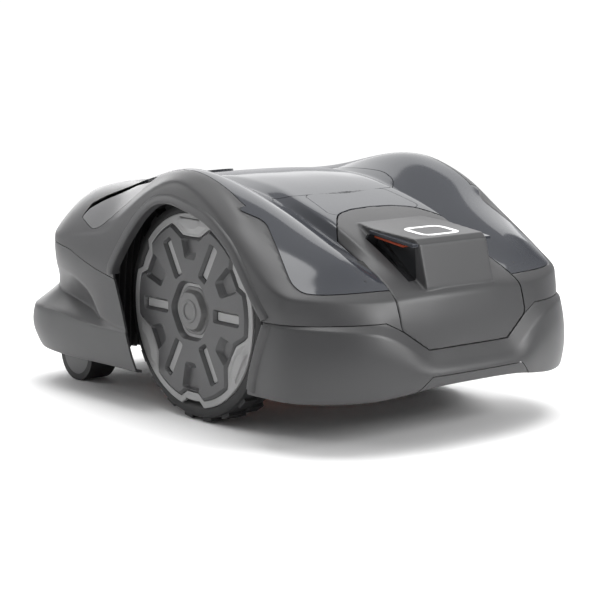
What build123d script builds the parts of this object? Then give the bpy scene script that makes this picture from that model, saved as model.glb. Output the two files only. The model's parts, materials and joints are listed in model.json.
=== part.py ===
"""Robotic lawn mower with a floating shell, two drive wheels, two swivel casters and a height-adjusted
cutting disc.

Frame: millimetres, +Z up, the nose points along -Y, X runs across the machine. The origin is on the
ground under the middle of the machine's bounding box. Every separate piece is written to parts/NODE.step.
"""

from build123d import *
from math import cos, degrees, radians, sin
import os

# ---------------------------------------------------------------- driving dimensions
HALF_LENGTH = 316.0
HALF_WIDTH = 212.0
WALL = 3.0
SEAM = 1.0
GROUND_GAP_FRONT = 58.0
GROUND_GAP_REAR = 50.0

WHEEL_Y = -34.0
WHEEL_R = 127.5
TYRE_R = 121.0
TYRE_WIDTH = 50.0
WHEEL_FACE_X = 181.0
RIM_R = 104.0
SHAFT_R = 8.0

CASTER_X = 135.0
CASTER_PIVOT_Y = 226.0
CASTER_TRAIL = 22.0
CASTER_R = 35.0
CASTER_WIDTH = 38.0
STEM_R = 6.0

CUTTER_Y = 40.0
DISC_R = 82.0
WELL_R = 116.0
CUT_HEIGHT = 60.0
CUTTER_MOTOR_R = 32.0
SCREW_Y = CUTTER_Y + 53.0
SCREW_R = 4.0
BLADE_COUNT = 3

HATCH_AXIS_Y = 138.0
HATCH_AXIS_Z = 252.6
HATCH_REAR_Y = 118.0
HINGE_PIN_R = 1.6
STOP_Y = 170.0
STOP_Z = 254.8
STOP_SLOPE = 9.35
STOP_R = 24.0
RUNNING_GAP = 0.05

TUB_FLOOR_Z = 62.0
TUB_TOP_Z = 160.0
CONSOLE_TOP_Z = 236.0
BUMPER_SEAM_Z = 141.0

# Lines seen from the side, as (y, z). The two lines share their y values.
STATIONS = [-330, -284, -245, -165, -112, -60, -26, 20, 120, 205, 258, 300]
CREST_Z = [160, 168, 194, 238, 266, 286, 291, 289, 267, 251, 228, 170]
DECK_Z = [142, 161, 184, 230, 247, 262, 270, 273, 263, 249, 227, 170]
DECK_HALF_WIDTH = 92.0
CREST_X = 152.0

PLAN = [(0, -316), (93, -305), (152, -290), (188, -264), (208, -234), (212, -200), (212, 60),
        (210, 160), (201, 240), (184, 284), (158, 306), (120, 314), (0, 316)]
CROSS = [(0, 0), (196, 0), (199, 58), (207, 96), (212, 124), (207, 141), (204, 172), (199, 235),
         (193, 268), (178, 284), (165, 291), (0, 300)]
ARCH = [(-150, 20), (-150, 56), (-176, 136), (-122, 199), (-78, 233), (-31, 246), (2, 250),
        (27, 244), (60, 221), (93, 187), (114, 149), (66, 20)]
WAIST_Z = (104.0, 138.0)
WAIST_DEPTH = 24.0
WAIST_FRONT_Y = 92.0

NOSE = [(0, 106), (59, 106), (93, 129), (94, 162), (82, 226), (82, 310), (0, 310)]
NOSE_REAR_Y = -166.0
BLOCK_HALF_WIDTH = 50.0
BLOCK_SIDE = [(-280, 160), (-268, 219), (-180, 228), (-180, 160)]
WINDOW = [(-270, 170), (-266, 211), (-205, 216), (-196, 200)]
NAME_PLATE = [(0, -144), (60, -144), (68, -138), (61, -90), (54, -86), (0, -86)]
HATCH = [(0, -78), (64, -78), (80, -71), (108, -50), (112, -30), (112, 90), (98, 118), (0, 118)]
CHASSIS_PLAN = [(0, -262), (104, -262), (146, -236), (146, -182), (120, -172), (120, 146),
                (158, 160), (158, 244), (140, 270), (0, 270)]
INSERT_SIDE = [(58, 262), (112, 257), (166, 231), (173, 221), (150, 206), (132, 207)]


# ---------------------------------------------------------------- small helpers
def both_sides(shape):
    """The shape and its mirror image across the YZ plane."""
    return [shape, mirror(shape, Plane.YZ)]


def mirrored_points(half):
    """Points of a full outline from its right half, which runs from x = 0 back to x = 0."""
    return half + [(-x, v) for x, v in reversed(half) if x > 0]


def side_prism(points, x0, x1):
    """A prism between x0 and x1 from a (y, z) outline."""
    return extrude(Plane.YZ.offset(x0) * make_face(Polyline(*points, close=True)), x1 - x0)


def plan_prism(points, z0, z1, grow=0.0):
    """A prism between z0 and z1 from an (x, y) outline, grown outwards by grow."""
    face = make_face(Polyline(*points, close=True))
    if grow:
        face = offset(face, grow, kind=Kind.INTERSECTION)
    return extrude(Plane.XY.offset(z0) * face, z1 - z0)


def front_prism(points, y0, y1, grow=0.0):
    """A prism between y0 and y1 from an (x, z) outline, grown outwards by grow."""
    face = make_face(Polyline(*points, close=True))
    if grow:
        face = offset(face, grow, kind=Kind.INTERSECTION)
    plane = Plane(origin=(0, y1, 0), x_dir=(1, 0, 0), z_dir=(0, -1, 0))
    return extrude(plane * face, y1 - y0)


def block(x0, x1, y0, y1, z0, z1):
    """A box between two corners."""
    return Pos((x0 + x1) / 2, (y0 + y1) / 2, (z0 + z1) / 2) * Box(x1 - x0, y1 - y0, z1 - z0)


def rod(radius, p0, p1):
    """A round bar between two points that differ along one axis."""
    axis = Vector(*p1) - Vector(*p0)
    return Plane(origin=p0, z_dir=axis) * Cylinder(
        radius, axis.length, align=(Align.CENTER, Align.CENTER, Align.MIN))


def tube(outer, inner, p0, p1):
    """A round tube between two points."""
    return rod(outer, p0, p1) - rod(inner, p0, p1)


# ---------------------------------------------------------------- outer form of the floating shell
def valley(inset):
    """The space above the deck, between the two raised haunches."""
    sky = 330
    deck = [(y, z - inset) for y, z in zip(STATIONS, DECK_Z)]
    crest = [(y, z - inset) for y, z in zip(STATIONS, CREST_Z)]
    close = [(STATIONS[-1], sky), (STATIONS[0], sky)]
    middle = side_prism(deck + close, -DECK_HALF_WIDTH, DECK_HALF_WIDTH)
    inner = Plane.YZ.offset(DECK_HALF_WIDTH) * Wire(Polyline(*(deck + close), close=True).edges())
    outer = Plane.YZ.offset(CREST_X) * Wire(Polyline(*(crest + close), close=True).edges())
    flank = Solid.make_loft([inner, outer], ruled=True)
    return middle + flank + mirror(flank, Plane.YZ)


def form(inset):
    """The closed outer form, drawn in by inset on every side. Its underside runs below the ground."""
    top = list(zip(STATIONS, CREST_Z))
    side = [(-HALF_LENGTH, -20), (-HALF_LENGTH, 112), (-300, 150)] + top[1:]
    side += [(306, 150), (HALF_LENGTH, 104), (HALF_LENGTH, -20)]
    side_face = offset(make_face(Polyline(*side, close=True)), -inset, kind=Kind.INTERSECTION)
    body = extrude(Plane.YZ.offset(-HALF_WIDTH - 5) * side_face, 2 * HALF_WIDTH + 10)
    plan_face = make_face(Polyline(*mirrored_points(PLAN), close=True))
    plan_face = offset(plan_face, -inset, kind=Kind.INTERSECTION)
    body &= extrude(Plane.XY.offset(-30) * plan_face, 360)
    cross_face = make_face(Polyline(*mirrored_points(CROSS), close=True))
    cross_face = offset(cross_face, -inset, kind=Kind.INTERSECTION)
    front = Plane(origin=(0, 340, 0), x_dir=(1, 0, 0), z_dir=(0, -1, 0))
    body &= extrude(front * cross_face, 680)
    body -= valley(inset)
    waist_core = offset(make_face(Polyline(*mirrored_points(PLAN), close=True)),
                        -WAIST_DEPTH - inset, kind=Kind.INTERSECTION)
    low, high = WAIST_Z[0] - inset, WAIST_Z[1] + inset
    ring = block(-250, 250, WAIST_FRONT_Y - inset, 350, low, high)
    body -= ring - extrude(Plane.XY.offset(low) * waist_core, high - low)
    return body


def nose_region(grow=0.0):
    """The space that belongs to the nose cover."""
    return front_prism(mirrored_points(NOSE), -340, NOSE_REAR_Y + grow, grow)


def top_region(grow=0.0):
    """The space that belongs to the top cover: both shoulders, the crests and the deck."""
    shoulder = [(-340, 171), (-236, 173), (-224, 178), (-116, 252), (-106, 268), (-106, 330),
                (-340, 330)]
    face = offset(make_face(Polyline(*shoulder, close=True)), grow, kind=Kind.INTERSECTION)
    front = extrude(Plane.YZ.offset(-220) * face, 440)
    middle = [(0, -190), (150, -190), (172, -112), (169, 40), (152, 112), (118, 140), (0, 140)]
    return front + plan_prism(mirrored_points(middle), 200, 330, grow)


def skin_above(outer, inner):
    """The wall of the shell above its lower edges."""
    trim = block(-250, 250, -340, WHEEL_Y, GROUND_GAP_FRONT, 340)
    trim += block(-250, 250, WHEEL_Y, 340, GROUND_GAP_REAR, 340)
    arches = both_sides(side_prism(ARCH, 150, 230))
    return (outer - inner) & trim - arches[0] - arches[1]


def solids_over(shape, volume):
    """The shape without stray slivers below a volume."""
    return Compound([s for s in shape.solids() if s.volume > volume])


def shell_panels():
    """The panels of the floating shell, cut from one wall by their seams."""
    inner = form(WALL)
    wall = skin_above(form(0), inner)
    front_low = block(-250, 250, -340, -60, 0, BUMPER_SEAM_Z)
    rear_low = side_prism([(20, 0), (20, 149), (330, 166), (330, 0)], -250, 250)
    hatch_opening = plan_prism(mirrored_points(HATCH), 200, 330, SEAM)
    hatch_opening += block(-98, 98, 100, HATCH_REAR_Y + 2 * SEAM, 200, 330)
    plate_opening = plan_prism(mirrored_points(NAME_PLATE), 200, 330, SEAM / 2)
    insert_space = both_sides(side_prism(INSERT_SIDE, 120, 230))
    stop_hole = stop_plane() * Cylinder(STOP_R + 0.6, 60)

    panels = {}
    insert_bar = front_prism([(-89, 50), (89, 50), (68, 80), (-68, 80)], -340, -250)
    bumper = (wall & front_low) - nose_region(SEAM) - insert_bar
    panels["front_bumper"] = solids_over(bumper, 2000)
    panels["rear_bumper"] = solids_over(wall & rear_low, 2000)
    upper = wall - block(-250, 250, -340, -60, 0, BUMPER_SEAM_Z + SEAM)
    upper -= Pos(0, 0, SEAM) * rear_low
    deck = (upper & top_region()) - nose_region(SEAM)
    panels["name_plate"] = deck & plan_prism(mirrored_points(NAME_PLATE), 200, 330)
    panels["hatch_lid"] = deck & plan_prism(mirrored_points(HATCH), 200, 330)
    panels["top_cover"] = solids_over(deck - hatch_opening - plate_opening, 2000)
    main = upper - top_region(SEAM) - nose_region(SEAM) - insert_space[0] - insert_space[1]
    panels["main_shell"] = solids_over(main - stop_hole, 2000)
    inset_insert = offset(make_face(Polyline(*INSERT_SIDE, close=True)), -0.6)
    inset_prism = extrude(Plane.YZ.offset(120) * inset_insert, 110)
    right = solids_over((upper & inset_prism) - top_region(SEAM), 200)
    panels["rear_inserts"] = Compound([s for r in both_sides(right) for s in r.solids()])
    return panels, wall, inner


def nose_cover(wall, inner):
    """The nose cover with its raised sensor block, its two side windows cut through."""
    cover = wall & nose_region()
    half = BLOCK_HALF_WIDTH
    raised = side_prism(BLOCK_SIDE, -half, half)
    hollow_side = offset(make_face(Polyline(*BLOCK_SIDE, close=True)), -WALL,
                         kind=Kind.INTERSECTION)
    hollow = extrude(Plane.YZ.offset(-half + WALL) * hollow_side, 2 * (half - WALL))
    hollow += side_prism([(-274, 140), (-274, 166), (-186, 224), (-186, 140)], -half + WALL,
                         half - WALL) & inner
    cover = cover - side_prism(BLOCK_SIDE, -half + WALL, half - WALL)
    cover = cover + (raised - hollow - inner)
    return solids_over(cover - side_prism(WINDOW, -half - 5, half + 5), 1000)


def sensor_windows():
    """Two dark window panes that sit just inside the block's side openings."""
    pane_side = offset(make_face(Polyline(*WINDOW, close=True)), -0.3, kind=Kind.INTERSECTION)
    x0 = BLOCK_HALF_WIDTH - 14
    pane = extrude(Plane.YZ.offset(x0) * pane_side, 2.0)
    return Compound([p.solid() for p in both_sides(pane)])


def light_strips():
    """A slim light strip along the top of each window."""
    strip = side_prism([(-262, 203), (-262, 207), (-212, 211), (-212, 207)],
                       BLOCK_HALF_WIDTH - 11.5, BLOCK_HALF_WIDTH - 6)
    return Compound([p.solid() for p in both_sides(strip)])


# ---------------------------------------------------------------- chassis
def tub():
    """The chassis tub: floor, walls, cutter well, rear deck over the casters, bearing holes."""
    front_plan = CHASSIS_PLAN[:5] + [(120, 152), (0, 152)]
    rear_plan = [(0, 140), (104, 140), (158, 158), (158, 244), (140, 270), (0, 270)]
    outer = plan_prism(mirrored_points(front_plan), TUB_FLOOR_Z, TUB_TOP_Z)
    outer += plan_prism(mirrored_points(rear_plan), 100, TUB_TOP_Z)
    hollow = plan_prism(mirrored_points(front_plan), TUB_FLOOR_Z + WALL, TUB_TOP_Z + 9, -WALL)
    hollow += plan_prism(mirrored_points(rear_plan), 100 + WALL, TUB_TOP_Z + 9, -WALL)
    well_top = 91.0
    well = rod(WELL_R + WALL, (0, CUTTER_Y, TUB_FLOOR_Z), (0, CUTTER_Y, well_top))
    box = outer - (hollow - well)
    box -= rod(WELL_R, (0, CUTTER_Y, 0), (0, CUTTER_Y, well_top - WALL))
    box -= rod(CUTTER_MOTOR_R + 6, (0, CUTTER_Y, 0), (0, CUTTER_Y, well_top + 1))
    for side in (-1, 1):
        box -= rod(SHAFT_R + 2, (side * 100, WHEEL_Y, WHEEL_R), (side * 140, WHEEL_Y, WHEEL_R))
        pivot = (side * CASTER_X, CASTER_PIVOT_Y)
        box += rod(13, (*pivot, 98), (*pivot, 134))
        box -= rod(STEM_R + RUNNING_GAP, (*pivot, 90), (*pivot, 140))
    return box


def lid():
    """The chassis lid with the raised console that carries the control panel."""
    plate = plan_prism(mirrored_points(CHASSIS_PLAN), TUB_TOP_Z + 1.5, TUB_TOP_Z + 4.5)
    console = block(-80, 80, -47, 97, TUB_TOP_Z + 1.5, CONSOLE_TOP_Z)
    console -= block(-77, 77, -44, 94, TUB_TOP_Z, CONSOLE_TOP_Z + 1)
    return plate - block(-77, 77, -44, 94, TUB_TOP_Z, CONSOLE_TOP_Z) + console


def lid_seal():
    """The flat seal between the tub and its lid."""
    outer = plan_prism(mirrored_points(CHASSIS_PLAN), TUB_TOP_Z, TUB_TOP_Z + 1.5)
    return outer - plan_prism(mirrored_points(CHASSIS_PLAN), TUB_TOP_Z - 1, TUB_TOP_Z + 3, -WALL)


def control_panel():
    """The console's top plate, with a well for the start button and the jog dial's shaft."""
    plate = block(-80, 80, -47, 97, CONSOLE_TOP_Z, CONSOLE_TOP_Z + 3)
    plate -= rod(9.4, (48, 66, 200), (48, 66, 260))
    return plate - rod(4 + RUNNING_GAP, (0, 66, 200), (0, 66, 260))


def wheel_motor(side):
    """A gear motor with the bearing that carries the drive shaft."""
    body = rod(27, (side * 50, WHEEL_Y, WHEEL_R), (side * 116.5, WHEEL_Y, WHEEL_R))
    body += block(min(side * 84, side * 116.5), max(side * 84, side * 116.5), WHEEL_Y - 27,
                  WHEEL_Y + 27, 102, WHEEL_R)
    return body - rod(SHAFT_R + RUNNING_GAP, (side * 90, WHEEL_Y, WHEEL_R),
                      (side * 130, WHEEL_Y, WHEEL_R))


def front_insert():
    """The lower front plate that carries the charging contacts, fixed under the tub's nose."""
    plate = front_prism([(-72, 66), (72, 66), (62, 78), (-62, 78)], -303, -298)
    arms = block(-30, -20, -298, -262, 66, 76) + block(20, 30, -298, -262, 66, 76)
    return plate + arms


def charging_contacts():
    """Two spring-steel contact strips on the lower front plate."""
    strip = block(34, 52, -304.2, -303, 68, 75)
    return Compound([p.solid() for p in both_sides(strip)])


def post_places():
    """Where the shell rests: x, y and the height of each post's top, for the right half."""
    return (100, -235, 176), (100, 200, 236)


def shell_posts():
    """Four rubber posts that let the shell shift and lift when it is bumped or picked up."""
    base_z = TUB_TOP_Z + 4.8
    posts = []
    for x, y, top in post_places():
        post = rod(13, (x, y, base_z), (x, y, base_z + 6)) + rod(9, (x, y, base_z), (x, y, top))
        for p in both_sides(post):
            posts.append(p.solid())
    return Compound(posts)


def shell_sockets(inner):
    """Four pads under the shell that sit over the posts and slide on them when the shell is hit."""
    pads = []
    for x, y, top in post_places():
        pad = block(x - 13, x + 13, y - 17, y + 17, top + 0.4, 300) & inner
        for p in both_sides(pad.solid()):
            pads.append(p.solid())
    return Compound(pads)


def chassis_screws():
    """The screws that hold the lid down."""
    places = [(96, -252), (136, -205), (112, -130), (112, 120), (148, 180), (130, 258)]
    screws = []
    for x, y in places:
        for s in (-1, 1):
            screws.append(rod(3.5, (s * x, y, TUB_TOP_Z + 4.5), (s * x, y, TUB_TOP_Z + 7)).solid())
    return Compound(screws)


# ---------------------------------------------------------------- drive wheels
def tyre(side):
    """A rubber tyre with two staggered rows of block lugs."""
    x0, x1 = side * (WHEEL_FACE_X - TYRE_WIDTH), side * WHEEL_FACE_X
    ring = tube(TYRE_R, RIM_R, (x0, WHEEL_Y, WHEEL_R), (x1, WHEEL_Y, WHEEL_R))
    lug_count = 32
    lugs = []
    for row, start in ((-12.5, 0.0), (12.5, 0.5)):
        for i in range(lug_count):
            turn = -90 + 360 * (i + start) / lug_count
            lug = Box(19, 9, 12)
            place = Pos(side * (WHEEL_FACE_X - TYRE_WIDTH / 2 + row), WHEEL_Y, WHEEL_R)
            lugs.append(place * Rot(turn, 0, 0) * Pos(0, TYRE_R + 1, 0) * Rot(90, 0, 0) * lug)
    whole = ring.fuse(*lugs)
    return whole & rod(WHEEL_R, (x0, WHEEL_Y, WHEEL_R), (x1, WHEEL_Y, WHEEL_R))


def rim(side):
    """The moulded rim: a band under the tyre, a dished web and a hub on the shaft."""
    face = side * WHEEL_FACE_X
    band = tube(RIM_R, RIM_R - 5, (face - side * TYRE_WIDTH, WHEEL_Y, WHEEL_R),
                (face, WHEEL_Y, WHEEL_R))
    web = rod(RIM_R - 4, (face - side * 12, WHEEL_Y, WHEEL_R), (face - side * 7, WHEEL_Y, WHEEL_R))
    hub = rod(18, (face - side * 46, WHEEL_Y, WHEEL_R), (face - side * 7, WHEEL_Y, WHEEL_R))
    bore = rod(SHAFT_R, (face - side * 60, WHEEL_Y, WHEEL_R), (face, WHEEL_Y, WHEEL_R))
    return band + web + hub - bore


def cover_outline(lobe_r, notch_r):
    """A wheel cover outline with a lobe at each slot and a notch between them."""
    points = []
    for i in range(6):
        lobe = radians(60 * i)
        for turn, r in ((-17, lobe_r), (17, lobe_r), (23, notch_r), (37, notch_r)):
            a = lobe + radians(turn)
            points.append((WHEEL_Y + r * cos(a), WHEEL_R + r * sin(a)))
    return points


def between(side, depth_0, depth_1):
    """The x span between two depths behind the wheel's outer face, lowest first."""
    return sorted((side * (WHEEL_FACE_X - depth_0), side * (WHEEL_FACE_X - depth_1)))


def ring_plate(side):
    """The bright plate between the rim and the cover."""
    x0, x1 = between(side, 7, 3.5)
    return tube(RIM_R - 6, 38, (x0, WHEEL_Y, WHEEL_R), (x1, WHEEL_Y, WHEEL_R))


def wheel_cover(side):
    """The moulded cover plate with six radial slots."""
    x0, x1 = between(side, 3.5, -3)
    plate = side_prism(cover_outline(89, 74), x0, x1)
    for i in range(6):
        turn = Pos((x0 + x1) / 2, WHEEL_Y, WHEEL_R) * Rot(60 * i, 0, 0) * Pos(0, 64, 0)
        plate -= turn * Box(20, 30, 10)
    return plate - rod(30, (x0 - 1, WHEEL_Y, WHEEL_R), (x1 + 1, WHEEL_Y, WHEEL_R))


def hub_cap(side):
    """The centre cap that hides the wheel bolt."""
    x0, x1 = side * (WHEEL_FACE_X - 6.8), side * (WHEEL_FACE_X + 2)
    return rod(29.5, (x0, WHEEL_Y, WHEEL_R), (x1 - side * 5, WHEEL_Y, WHEEL_R)) + rod(
        22, (x0, WHEEL_Y, WHEEL_R), (x1, WHEEL_Y, WHEEL_R))


def drive_shaft(side):
    """The drive shaft from the gear motor to the rim."""
    return rod(SHAFT_R, (side * 92, WHEEL_Y, WHEEL_R), (side * 173, WHEEL_Y, WHEEL_R))


# ---------------------------------------------------------------- casters
def caster_arm(side):
    """A swivel stem with an arm that reaches down the wheel's inner side to the axle."""
    stem = rod(STEM_R, (side * CASTER_X, CASTER_PIVOT_Y, 84), (side * CASTER_X, CASTER_PIVOT_Y, 136))
    cap = rod(15, (side * CASTER_X, CASTER_PIVOT_Y, 82), (side * CASTER_X, CASTER_PIVOT_Y, 94))
    axle_y = CASTER_PIVOT_Y + CASTER_TRAIL
    inner = side * (CASTER_X - CASTER_WIDTH / 2 - 1.5)
    leg_side = [(CASTER_PIVOT_Y - 12, 94), (CASTER_PIVOT_Y + 14, 94), (axle_y + 9, 44),
                (axle_y + 6, 26), (axle_y - 8, 26)]
    leg = side_prism(leg_side, min(inner, inner - side * 6), max(inner, inner - side * 6))
    x0, x1 = sorted((inner - side * 6, side * (CASTER_X + 8)))
    bridge = block(x0, x1, CASTER_PIVOT_Y - 12, CASTER_PIVOT_Y + 14, 82, 94)
    arm = stem + cap + leg + bridge
    return arm - rod(4, (inner - side * 9, axle_y, CASTER_R), (inner + side, axle_y, CASTER_R))


def caster_axle(side):
    """The steel axle pressed into the arm, on which the caster wheel turns."""
    y = CASTER_PIVOT_Y + CASTER_TRAIL
    inner = side * (CASTER_X - CASTER_WIDTH / 2 - 7.5)
    return rod(4, (inner, y, CASTER_R), (side * (CASTER_X + CASTER_WIDTH / 2 - 2), y, CASTER_R))


def caster_hub(side):
    """The hub of a caster wheel, running on the arm's axle."""
    y = CASTER_PIVOT_Y + CASTER_TRAIL
    x0, x1 = side * (CASTER_X - CASTER_WIDTH / 2), side * (CASTER_X + CASTER_WIDTH / 2)
    hub = rod(27, (x0, y, CASTER_R), (x1, y, CASTER_R))
    return hub - rod(4 + RUNNING_GAP, (x0 - side, y, CASTER_R), (x1 - side * 1.5, y, CASTER_R))


def caster_tyre(side):
    """The soft tread of a caster wheel."""
    y = CASTER_PIVOT_Y + CASTER_TRAIL
    x0, x1 = side * (CASTER_X - CASTER_WIDTH / 2), side * (CASTER_X + CASTER_WIDTH / 2)
    return tube(CASTER_R, 27, (x0, y, CASTER_R), (x1, y, CASTER_R))


# ---------------------------------------------------------------- cutter
def height_guide():
    """The fixed sleeve in which the cutter carriage slides, open at the back for the screw's nut."""
    sleeve = tube(45, CUTTER_MOTOR_R + 4.5, (0, CUTTER_Y, 91), (0, CUTTER_Y, 158))
    return sleeve - block(-10, 10, CUTTER_Y + 20, CUTTER_Y + 60, 90, 159)


def cutter_carriage():
    """The carriage that holds the cutting motor, with a nut lug for the lifting screw."""
    cup = tube(CUTTER_MOTOR_R + 4, CUTTER_MOTOR_R + 0.5, (0, CUTTER_Y, 76), (0, CUTTER_Y, 146))
    cup += tube(CUTTER_MOTOR_R + 4, 14, (0, CUTTER_Y, 73), (0, CUTTER_Y, 76.5))
    cup += block(-7, 7, CUTTER_Y + CUTTER_MOTOR_R + 3, SCREW_Y + 8, 134, 146)
    return cup - rod(SCREW_R + RUNNING_GAP, (0, SCREW_Y, 120), (0, SCREW_Y, 155))


def height_screw():
    """The lifting screw with its driven gear at the top."""
    return rod(SCREW_R, (0, SCREW_Y, 92), (0, SCREW_Y, 158)) + rod(
        11, (0, SCREW_Y, 149), (0, SCREW_Y, 154))


def height_motor():
    """The small motor that turns the lifting screw through a pinion."""
    y = SCREW_Y + 20
    return rod(12, (0, y, 91), (0, y, 147)) + rod(8.6, (0, y, 147), (0, y, 154))


def cutter_motor():
    """The cutting motor inside the carriage."""
    return rod(CUTTER_MOTOR_R, (0, CUTTER_Y, 77), (0, CUTTER_Y, 142)) - rod(
        5 + RUNNING_GAP, (0, CUTTER_Y, 70), (0, CUTTER_Y, 100))


def cutting_disc():
    """The cutting disc with its shaft and a raised screw for each blade."""
    disc = rod(DISC_R + 8, (0, CUTTER_Y, CUT_HEIGHT), (0, CUTTER_Y, CUT_HEIGHT + 2.5))
    disc += rod(12, (0, CUTTER_Y, CUT_HEIGHT - 6), (0, CUTTER_Y, CUT_HEIGHT + 9))
    disc += rod(5, (0, CUTTER_Y, CUT_HEIGHT), (0, CUTTER_Y, 98))
    return disc


def blade_angle(i):
    """The direction of a blade's screw on the disc, in radians."""
    return radians(90 + 360 * i / BLADE_COUNT)


def blade_pivot(i):
    """The centre of a blade's screw."""
    a = blade_angle(i)
    return DISC_R * cos(a), CUTTER_Y + DISC_R * sin(a)


def blade(i):
    """A thin pivoting razor blade under the disc, hanging outwards."""
    x, y = blade_pivot(i)
    outline = [(-7, -8), (-7, 8), (24, 9.5), (28, 4), (28, -4), (24, -9.5)]
    flat = extrude(make_face(Polyline(*outline, close=True)), 0.8)
    flat -= Cylinder(2.6, 4)
    return Pos(x, y, CUT_HEIGHT - 1.6) * Rot(0, 0, degrees(blade_angle(i))) * flat


def blade_screws():
    """The shouldered screws on which the blades swing."""
    screws = []
    for i in range(BLADE_COUNT):
        x, y = blade_pivot(i)
        screw = rod(2.5, (x, y, CUT_HEIGHT - 2.2), (x, y, CUT_HEIGHT)) + rod(
            5, (x, y, CUT_HEIGHT - 4.2), (x, y, CUT_HEIGHT - 2.2))
        screws.append(screw.solid())
    return Compound(screws)


def skid_plate():
    """The free-turning skid plate under the disc."""
    plate = rod(62, (0, CUTTER_Y, CUT_HEIGHT - 9), (0, CUTTER_Y, CUT_HEIGHT - 6.5))
    plate += tube(17, 12 + RUNNING_GAP, (0, CUTTER_Y, CUT_HEIGHT - 9), (0, CUTTER_Y, CUT_HEIGHT - 2))
    return plate


# ---------------------------------------------------------------- controls
def hatch_arms():
    """Two gooseneck arms that reach under the top cover's edge to the hinge pins."""
    y, z = HATCH_AXIS_Y, HATCH_AXIS_Z
    half = 3.3
    drop = z - 23.6
    side = [(y - 35, 262), (y - 26, 262), (y - 26, drop + 6), (y - half, drop + 6), (y - half, z),
            (y + half, z), (y + half, drop), (y - 30, drop), (y - 35, drop + 5)]
    arms = []
    for s in (-1, 1):
        x0, x1 = sorted((s * 44, s * 52))
        arm = side_prism(side, x0, x1) + rod(half, (x0, y, z), (x1, y, z))
        arms.append(arm - rod(HINGE_PIN_R + RUNNING_GAP, (x0 - 1, y, z), (x1 + 1, y, z)))
    return arms


def hinge_pins():
    """The two hinge pins, pressed into the brackets."""
    pin = rod(HINGE_PIN_R, (43, HATCH_AXIS_Y, HATCH_AXIS_Z), (60, HATCH_AXIS_Y, HATCH_AXIS_Z))
    return Compound([p.solid() for p in both_sides(pin)])


def hinge_brackets():
    """Brackets under the top cover that hold the hinge pins."""
    brackets = []
    for s in (-1, 1):
        x0, x1 = sorted((s * 52.6, s * 60))
        bracket = block(x0, x1, HATCH_AXIS_Y - 5, HATCH_AXIS_Y + 4, HATCH_AXIS_Z - 5,
                        HATCH_AXIS_Z + 2.4)
        bracket += block(x0, x1, HATCH_AXIS_Y - 5, HATCH_AXIS_Y + 1.5, HATCH_AXIS_Z, 258)
        brackets.append(bracket - rod(HINGE_PIN_R, (x0 - 1, HATCH_AXIS_Y, HATCH_AXIS_Z),
                                      (x1 + 1, HATCH_AXIS_Y, HATCH_AXIS_Z)))
    return brackets


def hatch_well(inner):
    """The tray under the hatch: a wall round the opening and a floor with a gap for the console."""
    outline = mirrored_points(HATCH)
    tray = plan_prism(outline, 224, 330, 4) - plan_prism(outline, 226.5, 331, 1.6)
    tray = tray & inner
    tray -= block(-88, 88, -57, 107, 220, 230)
    for s in (-1, 1):
        x0, x1 = sorted((s * 42, s * 54))
        tray -= block(x0, x1, 96, 130, 227, 290)
    return tray


def stop_plane():
    """The plane of the stop button's top, leaning back with the tail."""
    lean = radians(STOP_SLOPE)
    return Plane(origin=(0, STOP_Y, STOP_Z), x_dir=(1, 0, 0), z_dir=(0, sin(lean), cos(lean)))


def stop_button():
    """The large stop button behind the hatch, with its guide stem."""
    low = (Align.CENTER, Align.CENTER, Align.MAX)
    crown = Pos(0, 0, 2) * Cylinder(STOP_R, 10, align=low)
    return stop_plane() * (crown + Pos(0, 0, -7) * Cylinder(8, 16, align=low))


def stop_guide():
    """The guide cup under the shell in which the stop button's stem slides."""
    low = (Align.CENTER, Align.CENTER, Align.MAX)
    cup = Pos(0, 0, -WALL / 2) * Cylinder(STOP_R + 3, 15, align=low)
    cup -= Pos(0, 0, 1) * Cylinder(STOP_R + 0.6, 15, align=low)
    cup -= Cylinder(8 + RUNNING_GAP, 60)
    return stop_plane() * cup


def jog_dial():
    """The dial that turns and selects menu items."""
    z = CONSOLE_TOP_Z + 3
    return rod(16, (0, 66, z + 0.4), (0, 66, z + 9)) + rod(4, (0, 66, z - 8), (0, 66, z + 1))


def start_button():
    """The start button beside the dial."""
    return rod(9, (48, 66, CONSOLE_TOP_Z - 2), (48, 66, CONSOLE_TOP_Z + 7))


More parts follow.
